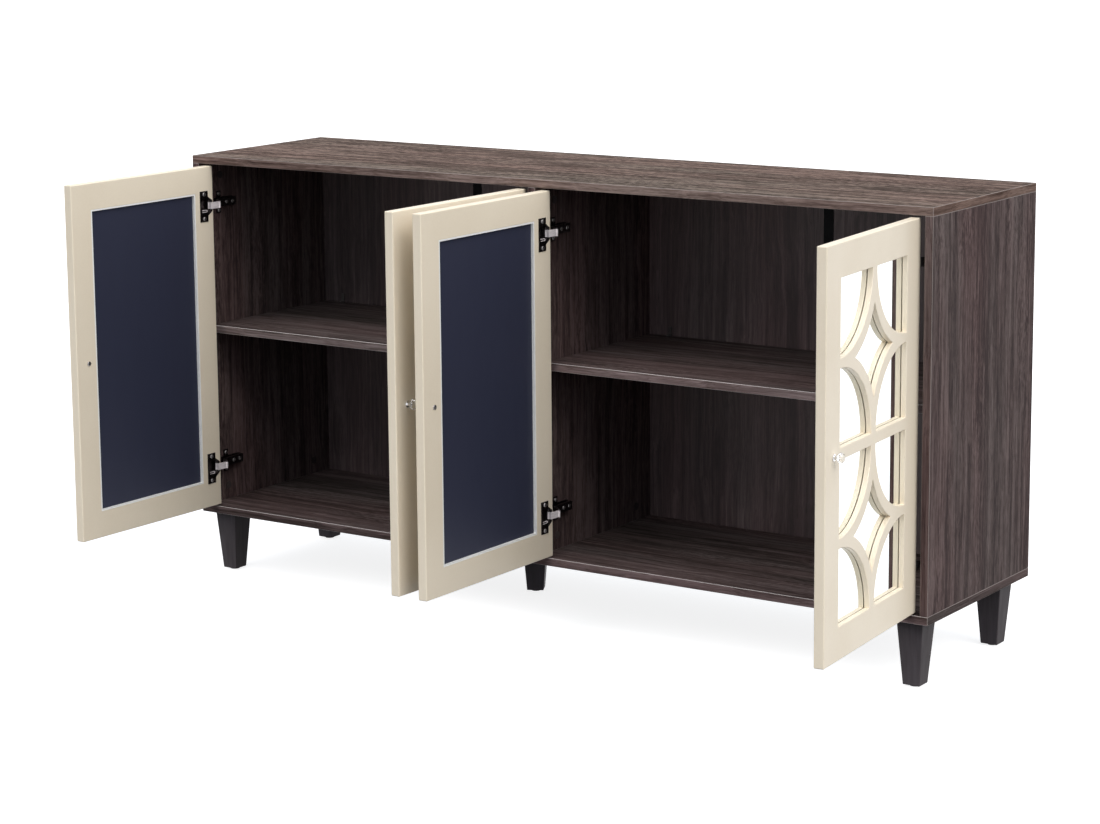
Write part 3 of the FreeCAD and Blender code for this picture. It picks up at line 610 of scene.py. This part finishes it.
def mirror_glass():
    material, tree, shader = start_finish("mirror_glass")
    smear = noise(tree, place_on_piece(tree), per_metre=(14.0, 14.0, 6.0), detail=5.0, roughness=0.65)
    silver_colour = colour_ramp(tree, smear, ((0.4, MIRROR_SILVER), (0.7, MIRROR_SMEAR)))
    feed(tree, shader.inputs["Base Color"], silver_colour)
    set_roughness(tree, shader, smear, at_low=0.008, at_high=0.03, low=0.45, high=0.75)
    shader.inputs["Metallic"].default_value = 1.0
    return material


def cut_crystal():
    material, tree, shader = start_finish("cut_crystal")
    polish = noise(tree, place_on_piece(tree), per_metre=(700.0, 700.0, 700.0), detail=2.0)
    shader.inputs["Base Color"].default_value = (*CRYSTAL_CLEAR, 1.0)
    shader.inputs["Transmission Weight"].default_value = 1.0
    shader.inputs["IOR"].default_value = CRYSTAL_BENDING
    set_roughness(tree, shader, polish, at_low=0.0, at_high=0.015, low=0.4, high=0.7)
    return material


def plated_metal(name, bright, dim, smooth, rough):
    material, tree, shader = start_finish(name)
    place = place_on_piece(tree)
    brushing = noise(tree, place, per_metre=(1400.0, 1400.0, 240.0), roughness=0.6)
    tarnish = noise(tree, place, per_metre=(60.0, 60.0, 60.0))
    tone = blend(tree, brushing, tarnish, fine_share=0.4)
    feed(tree, shader.inputs["Base Color"], colour_ramp(tree, tone, ((0.36, dim), (0.58, bright))))
    set_roughness(tree, shader, tone, at_low=rough, at_high=smooth, low=0.35, high=0.65)
    shader.inputs["Metallic"].default_value = 1.0
    raise_surface(tree, shader, brushing, strength=0.05, distance=0.0001)
    return material


def zinc_plate():
    """A rolled sheet: its lines run round the link, level with the floor."""
    material, tree, shader = start_finish("zinc_plate")
    rolling = noise(tree, place_on_piece(tree), per_metre=(60.0, 60.0, 900.0), detail=2.0)
    coat_colour = colour_ramp(tree, rolling, ((0.36, ZINC_DIM), (0.60, ZINC_PALE)))
    feed(tree, shader.inputs["Base Color"], coat_colour)
    set_roughness(tree, shader, rolling, at_low=0.50, at_high=0.38)
    shader.inputs["Metallic"].default_value = ZINC_AS_METAL
    raise_surface(tree, shader, rolling, strength=0.06, distance=0.0002)
    return material


mirror = mirror_glass()
crystal = cut_crystal()
zinc = zinc_plate()
chrome = plated_metal("chrome", CHROME_BRIGHT, CHROME_DIM, smooth=0.05, rough=0.14)
bright_steel = plated_metal("bright_steel", STEEL_BRIGHT, STEEL_DIM, smooth=0.20, rough=0.34)
dull_steel = plated_metal("dull_steel", SCREW_BRIGHT, SCREW_DIM, smooth=0.30, rough=0.44)
black_nickel = plated_metal("black_nickel", NICKEL_BRIGHT, NICKEL_DIM, smooth=0.22, rough=0.38)
print("glass:", mirror.name, crystal.name)
print("metals:", chrome.name, bright_steel.name, dull_steel.name, black_nickel.name, zinc.name)

# %% [markdown]
# ## Legs and small plastic pieces
# The legs are sawn from solid wood and stained nearly black, so only a trace of grain shows. Their sides,
# which face along X, are painted darker than their fronts and backs: painted shade. Glides and the back's
# joint strips are black moulded plastic with a fine grain. The clips on the shelves are grey-brown, and the
# caps over the fastenings are as dark as the boards, so that they are hard to see.

# %% Legs and plastics
LEG_DARK, LEG_LIGHT = (0.056, 0.048, 0.050), (0.100, 0.087, 0.094)
# Painted shade on the legs' sides that face along X
LEG_SIDE_SHADE = (0.60, 0.58, 0.58)
LEG_EDGE = (0.13, 0.115, 0.11)
LEG_EDGE_REACH, LEG_EDGE_STRENGTH = 0.0012, 0.35
LEG_SHEEN = 0.06
BLACK_DARK, BLACK_LIGHT = (0.008, 0.008, 0.009), (0.016, 0.016, 0.017)
CLIP_DIM, CLIP_PALE = (0.070, 0.060, 0.056), (0.115, 0.104, 0.096)
CAP_DIM, CAP_PALE = (0.036, 0.028, 0.028), (0.058, 0.045, 0.044)
PLASTIC_UNEVENNESS = 0.06


def stained_leg():
    material, tree, shader = start_finish("stained_leg")
    place = place_on_piece(tree)
    grain = noise(tree, place, per_metre=(160.0, 160.0, 7.0), detail=4.0, roughness=0.6)
    cloud = noise(tree, place, per_metre=(14.0, 14.0, 6.0), detail=2.0)
    tone = blend(tree, grain, cloud, fine_share=0.4)
    stain = colour_ramp(tree, tone, ((0.34, LEG_DARK), (0.66, LEG_LIGHT)))
    # Painted shade: the sides that face along X are darkened
    shaded_side = mask(tree, facing_either_way(tree, "X"), none_at=0.6, full_at=0.9)
    stain = tinted(tree, shaded_side, stain, LEG_SIDE_SHADE)
    edges = calculate(tree, "MULTIPLY", near_edge(tree, LEG_EDGE_REACH), LEG_EDGE_STRENGTH)
    feed(tree, shader.inputs["Base Color"], mix_colour(tree, edges, stain, LEG_EDGE))
    set_roughness(tree, shader, grain, at_low=0.46, at_high=0.36)
    shader.inputs["Specular IOR Level"].default_value = LEG_SHEEN
    raise_surface(tree, shader, grain, strength=0.08, distance=0.0004)
    return material


def moulded_plastic(name, dim, pale, grain_per_metre, roughness, sheen):
    material, tree, shader = start_finish(name)
    place = place_on_piece(tree)
    grain = noise(tree, place, (grain_per_metre,) * 3, detail=2.0)
    flow = noise(tree, place, per_metre=(35.0, 35.0, 35.0))
    feed(tree, shader.inputs["Base Color"], colour_ramp(tree, flow, ((0.35, dim), (0.65, pale))))
    set_roughness(tree, shader, grain, roughness + PLASTIC_UNEVENNESS, roughness - PLASTIC_UNEVENNESS)
    shader.inputs["Specular IOR Level"].default_value = sheen
    raise_surface(tree, shader, grain, strength=0.10, distance=0.0002)
    return material


leg_stain = stained_leg()
black_plastic = moulded_plastic(
    "black_plastic", BLACK_DARK, BLACK_LIGHT, grain_per_metre=1100.0, roughness=0.55, sheen=0.08)
clip_plastic = moulded_plastic(
    "clip_plastic", CLIP_DIM, CLIP_PALE, grain_per_metre=700.0, roughness=0.40, sheen=0.25)
cap_plastic = moulded_plastic(
    "cap_plastic", CAP_DIM, CAP_PALE, grain_per_metre=700.0, roughness=0.35, sheen=0.12)
print("legs and plastics:", leg_stain.name, black_plastic.name, clip_plastic.name, cap_plastic.name)

# %% [markdown]
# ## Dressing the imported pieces
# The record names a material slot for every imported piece, so the finishes are handed out by slot. A few
# pieces need a second look: a long board's grain runs another way than an upright one's, the hinge links
# have their zinc coat and the caps are darker than the clips.

# %% Hand out the finishes
FINISH_OF_PIECE = {
    "top_panel": top_grain,
    "left_shelf": shelf_grain,
    "right_shelf": shelf_grain,
    "bottom_panel": bottom_grain,
    "joint_covers": cap_plastic,
}
FINISH_OF_SLOT = {
    "carcass_wood": upright_grain,
    "back_board": back_sheet,
    "leg_wood": leg_stain,
    "door_paint": cream,
    "mirror": mirror,
    "bead_white": bead,
    "chrome": chrome,
    "crystal": crystal,
    "hinge_black_nickel": black_nickel,
    "bright_steel": bright_steel,
    "black_plastic": black_plastic,
    "clip_plastic": clip_plastic,
}


def finish_for(name, slot):
    if name.endswith("_hinge_links"):
        return zinc
    return FINISH_OF_PIECE.get(name, FINISH_OF_SLOT[slot])


def dress(piece, finish):
    if not piece.material_slots:
        piece.data.materials.append(finish)
    for slot in piece.material_slots:
        slot.material = finish


for row in frame["record"]["subparts"]:
    dress(frame["nodes"][row["node"]], finish_for(row["node"], row["material_slot"]))

# %% [markdown]
# ## Where the doors stand
# New pieces on a door are modelled once, in the door's own frame: X from the hinge edge, Y from the front
# face to the back, Z from mid-height. Each door stands open on a link with two rods. The link turns half
# as far as the door and the other way, about the rod in the arm, and the door turns about the rod in the
# cup. Doing that sum again puts a copy on every door. A door hinged on the right is the mirror image.

# %% Door places
FRONT = -0.200
DOOR_WIDTH = 0.385
DOOR_HEIGHT = 0.673
DOOR_DEPTH = 0.018
DOOR_MIDDLE = 0.4745
DOOR_GAP = 0.0025
ARM_ROD = (0.0317, 0.0222)
CUP_ROD = (0.0075, 0.0130)
LINK_SHARE = 0.5
# Each door: 1 if hinged on its left or -1 on its right, the upright's face there, how far it is open
DOORS = {
    "left_outer_door": (1, -0.785, 91.5),
    "left_inner_door": (-1, -0.0075, 88.5),
    "right_inner_door": (1, 0.0075, 90.5),
    "right_outer_door": (-1, 0.785, 95.0),
}


def door_place(side, hinge_face, degrees):
    """The move that takes a piece from the door's own frame to where the open door stands."""
    opening = math.radians(degrees)
    arm = Vector((hinge_face + side * ARM_ROD[0], FRONT + ARM_ROD[1], DOOR_MIDDLE))
    shut_edge = Vector((hinge_face + side * DOOR_GAP, FRONT, DOOR_MIDDLE))
    shut_cup = shut_edge + Vector((side * CUP_ROD[0], CUP_ROD[1], 0.0))
    link_turn = Matrix.Rotation(side * LINK_SHARE * opening, 3, "Z")
    door_turn = Matrix.Rotation(-side * opening, 3, "Z")
    open_cup = arm + link_turn @ (shut_cup - arm)
    open_edge = open_cup + door_turn @ (shut_edge - shut_cup)
    mirrored = Matrix.Scale(side, 4, (1.0, 0.0, 0.0))
    return Matrix.Translation(open_edge) @ door_turn.to_4x4() @ mirrored


PLACES = {name: door_place(*setting) for name, setting in DOORS.items()}
for name, place in PLACES.items():
    print(name, "hinge edge at", [round(number, 4) for number in place.translation])

# %% [markdown]
# ## Helpers for modelling
# These do what a hand does with the mouse: pick out one object, pick faces or edges by where they lie, and
# set a copy in its place. A copy's place is applied to its mesh, and a mirrored copy gets its faces turned
# outwards again.

# %% Modelling helpers
SAME_PLACE = 1e-6


def take_only(piece):
    bpy.ops.object.select_all(action="DESELECT")
    piece.select_set(True)
    bpy.context.view_layer.objects.active = piece


def pick_nothing(piece, mode):
    take_only(piece)
    bpy.ops.object.mode_set(mode="EDIT")
    bpy.ops.mesh.select_mode(type=mode)
    bpy.ops.mesh.select_all(action="DESELECT")
    bpy.ops.object.mode_set(mode="OBJECT")


def pick(piece, mode, wanted):
    """Select the faces or edges whose corners are wanted, and go into edit mode."""
    pick_nothing(piece, mode)
    mesh = piece.data
    items = mesh.polygons if mode == "FACE" else mesh.edges
    for item in items:
        corners = [mesh.vertices[number].co for number in item.vertices]
        item.select = wanted(corners)
    bpy.ops.object.mode_set(mode="EDIT")


def leave_edit():
    bpy.ops.object.mode_set(mode="OBJECT")


def turn_outwards(piece):
    take_only(piece)
    bpy.ops.object.mode_set(mode="EDIT")
    bpy.ops.mesh.select_all(action="SELECT")
    bpy.ops.mesh.normals_make_consistent(inside=False)
    leave_edit()


def set_copy(master, name, place):
    take_only(master)
    bpy.ops.object.duplicate()
    copy = bpy.context.object
    copy.name = name
    copy.data.name = name
    copy.matrix_world = place
    bpy.ops.object.transform_apply(location=True, rotation=True, scale=True)
    turn_outwards(copy)
    return copy


def join_as(pieces, name):
    take_only(pieces[0])
    for piece in pieces[1:]:
        piece.select_set(True)
    bpy.ops.object.join()
    joined = bpy.context.object
    joined.name = name
    joined.data.name = name
    return joined


def put_away(master):
    bpy.data.objects.remove(master)


print("modelling helpers are ready")

# %% [markdown]
# ## The silver and the coat of each mirror
# A mirror's silver lies on the back of its glass, so the fretwork and its reflection stand a little apart,
# with a dark seam between them. A glass block in front would show that too, but slowly, so only the silver
# is modelled, as deep in the rebate as the glass puts it. Behind it is the dark blue coat that an open door
# shows, which stops just inside the white bead. Both are thin sheets with softened edges.

# %% Mirror silver and coats
MIRROR_EDGE = 0.0505
SILVER_FACE = 0.0101
SILVER_THICKNESS = 0.0018
BEAD_INNER = 0.0534
COAT_FACE = 0.0120
COAT_THICKNESS = 0.0004
SHEET_RIM = 0.0015
SHEET_SOFT_EDGE = 0.00015
SOFT_EDGE_STEPS = 2


def model_sheet(margin, face, thickness, finish):
    """A thin sheet in the door, with a margin all round; its rim is inset and its back edge softened."""
    middle = (DOOR_WIDTH / 2, face, 0.0)
    bpy.ops.object.select_all(action="DESELECT")
    bpy.ops.mesh.primitive_plane_add(size=1.0, location=middle, rotation=(-math.pi / 2, 0.0, 0.0))
    sheet = bpy.context.object
    sheet.scale = (DOOR_WIDTH - 2 * margin, DOOR_HEIGHT - 2 * margin, 1.0)
    bpy.ops.object.transform_apply(location=True, rotation=True, scale=True)
    pick(sheet, "FACE", lambda corners: True)
    bpy.ops.mesh.extrude_region_move(TRANSFORM_OT_translate={"value": (0.0, thickness, 0.0)})
    bpy.ops.mesh.inset(thickness=SHEET_RIM)
    leave_edit()
    back = face + thickness
    pick(sheet, "EDGE", lambda corners: all(abs(corner.y - back) < SAME_PLACE for corner in corners))
    bpy.ops.mesh.bevel(offset=SHEET_SOFT_EDGE, segments=SOFT_EDGE_STEPS)
    leave_edit()
    turn_outwards(sheet)
    sheet.data.materials.append(finish)
    return sheet


silver_master = model_sheet(MIRROR_EDGE, SILVER_FACE, SILVER_THICKNESS, mirror)
coat_master = model_sheet(BEAD_INNER, COAT_FACE, COAT_THICKNESS, navy)
for door, place in PLACES.items():
    silver = set_copy(silver_master, door + "_mirror_silver", place)
    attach(silver, door)
    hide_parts(door + "_mirror")
    coat = set_copy(coat_master, door + "_mirror_coat", place)
    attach(coat, door)
put_away(silver_master)
put_away(coat_master)
print("mirror silvers and coats:", 2 * len(DOORS))

# %% [markdown]
# ## Crystal knobs
# The knob heads are cut glass: a flat table in front, a ring of crown facets, a narrow girdle and a ring of
# facets that run down to the chrome foot. The cut starts as a disc that is extruded ring by ring. The ring
# on either side of the girdle is turned by half a facet, and the skewed sides are split into triangles.

# %% Cut crystal heads
KNOB_OUT = 0.354
KNOB_SIDES = 10
KNOB_ROOT_RADIUS = 0.0050
KNOB_ROOT = 0.0070
FLAT_FACET_ANGLE = math.radians(2.0)
# Each ring: its height above the door, its radius and whether it is turned by half a facet
KNOB_RINGS = (
    (0.0090, 0.0073, True),
    (0.0116, 0.0090, False),
    (0.0134, 0.0090, False),
    (0.0158, 0.0078, True),
    (0.0180, 0.0054, False),
)


def model_crystal():
    bpy.ops.object.select_all(action="DESELECT")
    bpy.ops.mesh.primitive_circle_add(
        vertices=KNOB_SIDES, radius=KNOB_ROOT_RADIUS, fill_type="NGON", location=(0.0, 0.0, KNOB_ROOT))
    head = bpy.context.object
    bpy.ops.object.transform_apply(location=True, rotation=True, scale=True)
    pick(head, "FACE", lambda corners: True)
    half_facet = math.pi / KNOB_SIDES
    height, radius, turned = KNOB_ROOT, KNOB_ROOT_RADIUS, False
    for next_height, next_radius, next_turned in KNOB_RINGS:
        bpy.ops.mesh.extrude_region_move(TRANSFORM_OT_translate={"value": (0.0, 0.0, next_height - height)})
        middle = (0.0, 0.0, next_height)
        size = next_radius / radius
        bpy.ops.transform.resize(value=(size, size, 1.0), center_override=middle)
        if next_turned != turned:
            bpy.ops.transform.rotate(value=half_facet, orient_axis="Z", center_override=middle)
        height, radius, turned = next_height, next_radius, next_turned
    bpy.ops.mesh.select_all(action="SELECT")
    bpy.ops.mesh.vert_connect_nonplanar(angle_limit=FLAT_FACET_ANGLE)
    leave_edit()
    turn_outwards(head)
    head.data.materials.append(crystal)
    return head


crystal_master = model_crystal()
out_of_door = Matrix.Translation((KNOB_OUT, 0.0, 0.0)) @ Matrix.Rotation(math.pi / 2, 4, "X")
for door, place in PLACES.items():
    head = set_copy(crystal_master, door + "_crystal", place @ out_of_door)
    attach(head, door)
    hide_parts(door + "_knob_head")
put_away(crystal_master)
print("crystal heads:", len(DOORS))

# %% [markdown]
# ## Screws
# Every hinge is held by small pan-head screws with a cross in the head, and one more holds each knob from
# behind. One head is modelled at full size: a disc, its upper edge rounded, and a tapered cross cut out of
# it with a boolean. It is then copied to each place and stretched to the radius and height needed there.

# %% Screw heads
SCREW_HEAD = 0.0040
SCREW_RISE = 0.0020
SCREW_SIDES = 28
SCREW_ROUNDING, SCREW_ROUNDING_STEPS = 0.0012, 4
SCREW_SMOOTH_ANGLE = math.radians(35)
CROSS_REACH = 0.0024
CROSS_WIDTH = 0.0008
CROSS_FLOOR = 0.0008
CROSS_TAPER = 0.45


def model_cross():
    """The tip of a screwdriver: two crossed blades that narrow downwards."""
    blades = []
    for turn in (0.0, math.pi / 2):
        bpy.ops.object.select_all(action="DESELECT")
        bpy.ops.mesh.primitive_cube_add(size=1.0, location=(0.0, 0.0, CROSS_FLOOR + SCREW_RISE / 2))
        blade = bpy.context.object
        blade.scale = (2 * CROSS_REACH, CROSS_WIDTH, SCREW_RISE)
        blade.rotation_euler.z = turn
        bpy.ops.object.transform_apply(location=True, rotation=True, scale=True)
        pick(blade, "FACE", lambda corners: all(corner.z < CROSS_FLOOR + SAME_PLACE for corner in corners))
        floor_middle = (0.0, 0.0, CROSS_FLOOR)
        bpy.ops.transform.resize(value=(CROSS_TAPER, CROSS_TAPER, 1.0), center_override=floor_middle)
        leave_edit()
        blades.append(blade)
    return blades


def cut_out(piece, cutter):
    cut = piece.modifiers.new("cross", "BOOLEAN")
    cut.operation = "DIFFERENCE"
    cut.solver = "EXACT"
    cut.object = cutter
    take_only(piece)
    bpy.ops.object.modifier_apply(modifier=cut.name)
    put_away(cutter)


def model_screw_head():
    bpy.ops.object.select_all(action="DESELECT")
    bpy.ops.mesh.primitive_cylinder_add(
        vertices=SCREW_SIDES, radius=SCREW_HEAD, depth=SCREW_RISE, location=(0.0, 0.0, SCREW_RISE / 2))
    head = bpy.context.object
    bpy.ops.object.transform_apply(location=True, rotation=True, scale=True)
    pick(head, "EDGE", lambda corners: all(corner.z > SCREW_RISE - SAME_PLACE for corner in corners))
    bpy.ops.mesh.bevel(offset=SCREW_ROUNDING, segments=SCREW_ROUNDING_STEPS)
    leave_edit()
    for blade in model_cross():
        cut_out(head, blade)
    take_only(head)
    bpy.ops.object.shade_smooth_by_angle(angle=SCREW_SMOOTH_ANGLE)
    head.data.materials.append(dull_steel)
    return head


screw_master = model_screw_head()
print("screw head faces:", len(screw_master.data.polygons))

# %% [markdown]
# The screws stand square to what they hold, so a screw's place is a point, a direction and the turn of its
# cross. Fitters never line the crosses up, so each gets a turn of its own from a plain counting rule.

# %% Screws on the doors and in the uprights
HINGE_RISE = 0.2595
FLANGE_MIDDLE = 0.0270
FLANGE_SKIN = 0.0012
FLANGE_SCREW_RISE = 0.024
KNOB_SCREW_SIZE = (0.0045, 0.0018)
PLATE_SKIN = 0.002
WING_IN = 0.055
WING_SCREW_RISE = 0.016
ARM_TOP = 0.0134
ARM_SCREWS_IN = (0.066, 0.084)
CROSS_TURN_STEP = 0.7

TOWARDS_BACK = Matrix.Rotation(-math.pi / 2, 4, "X")
TOWARDS_BAY = Matrix.Rotation(math.pi / 2, 4, "Y")
screw_count = 0


def screw_copy(frame_place, point, direction, radius=SCREW_HEAD, rise=SCREW_RISE):
    global screw_count
    screw_count += 1
    stretch = Matrix.Diagonal((radius / SCREW_HEAD, radius / SCREW_HEAD, rise / SCREW_RISE, 1.0))
    turn = Matrix.Rotation(CROSS_TURN_STEP * screw_count, 4, "Z")
    place = frame_place @ Matrix.Translation(point) @ direction @ turn @ stretch
    return set_copy(screw_master, "screw_" + str(screw_count), place)


def door_screws(door, place):
    flange = DOOR_DEPTH + FLANGE_SKIN
    screws = [screw_copy(place, (KNOB_OUT, DOOR_DEPTH, 0.0), TOWARDS_BACK, *KNOB_SCREW_SIZE)]
    for hinge in (HINGE_RISE, -HINGE_RISE):
        for rise in (FLANGE_SCREW_RISE, -FLANGE_SCREW_RISE):
            screws.append(screw_copy(place, (FLANGE_MIDDLE, flange, hinge + rise), TOWARDS_BACK))
    piece = join_as(screws, door + "_screw_heads")
    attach(piece, door)
    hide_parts(door + "_screws")


def upright_screws():
    screws = []
    for side, hinge_face, _ in DOORS.values():
        mirrored = Matrix.Scale(side, 4, (1.0, 0.0, 0.0))
        place = Matrix.Translation((hinge_face, FRONT, DOOR_MIDDLE)) @ mirrored
        for hinge in (HINGE_RISE, -HINGE_RISE):
            for rise in (WING_SCREW_RISE, -WING_SCREW_RISE):
                screws.append(screw_copy(place, (PLATE_SKIN, WING_IN, hinge + rise), TOWARDS_BAY))
            for inwards in ARM_SCREWS_IN:
                point = (ARM_TOP, inwards, hinge)
                screws.append(screw_copy(place, point, TOWARDS_BAY, SCREW_HEAD, SCREW_RISE / 2))
    piece = join_as(screws, "hinge_plate_screw_heads")
    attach(piece, "carcass")
    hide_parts("hinge_plate_screws")


for door, place in PLACES.items():
    door_screws(door, place)
upright_screws()
put_away(screw_master)
print("screws:", screw_count)

# %% [markdown]
# ## Hinge springs
# A cup hinge has a wire spring that pulls the door shut. It lies in the cup below the link, where its two
# arms show as bright lines. The wire starts as a small disc: it is extruded along one arm, walked round the
# bend in short turns and extruded back along the other arm, which makes a hairpin.

# %% Hinge springs
WIRE_RADIUS = 0.0006
WIRE_SIDES = 10
SPRING_DEPTH = 0.0172
SPRING_OUT = 0.0305
SPRING_BEND = 0.0185
SPRING_DROP = (0.0080, 0.0116)
BEND_STEPS = 8
WIRE_SMOOTH_ANGLE = math.radians(50)


def model_spring():
    """A hairpin in the door's own frame, below the middle of a hinge at mid-height."""
    upper, lower = SPRING_DROP
    arm = SPRING_OUT - SPRING_BEND
    bend_middle = (SPRING_BEND, SPRING_DEPTH, -(upper + lower) / 2)
    bpy.ops.object.select_all(action="DESELECT")
    bpy.ops.mesh.primitive_circle_add(
        vertices=WIRE_SIDES, radius=WIRE_RADIUS, fill_type="NGON",
        location=(SPRING_OUT, SPRING_DEPTH, -upper), rotation=(0.0, math.pi / 2, 0.0))
    spring = bpy.context.object
    bpy.ops.object.transform_apply(location=True, rotation=True, scale=True)
    pick(spring, "FACE", lambda corners: True)
    bpy.ops.mesh.extrude_region_move(TRANSFORM_OT_translate={"value": (-arm, 0.0, 0.0)})
    for _ in range(BEND_STEPS):
        bpy.ops.mesh.extrude_region_move(TRANSFORM_OT_translate={"value": (0.0, 0.0, 0.0)})
        bpy.ops.transform.rotate(value=math.pi / BEND_STEPS, orient_axis="Y", center_override=bend_middle)
    bpy.ops.mesh.extrude_region_move(TRANSFORM_OT_translate={"value": (arm, 0.0, 0.0)})
    leave_edit()
    turn_outwards(spring)
    take_only(spring)
    bpy.ops.object.shade_smooth_by_angle(angle=WIRE_SMOOTH_ANGLE)
    spring.data.materials.append(zinc)
    return spring


spring_master = model_spring()
for door, place in PLACES.items():
    pair = [set_copy(spring_master, "spring", place @ Matrix.Translation((0.0, 0.0, rise)))
            for rise in (HINGE_RISE, -HINGE_RISE)]
    springs = join_as(pair, door + "_hinge_springs")
    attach(springs, door)
put_away(spring_master)
print("springs:", 2 * len(DOORS))
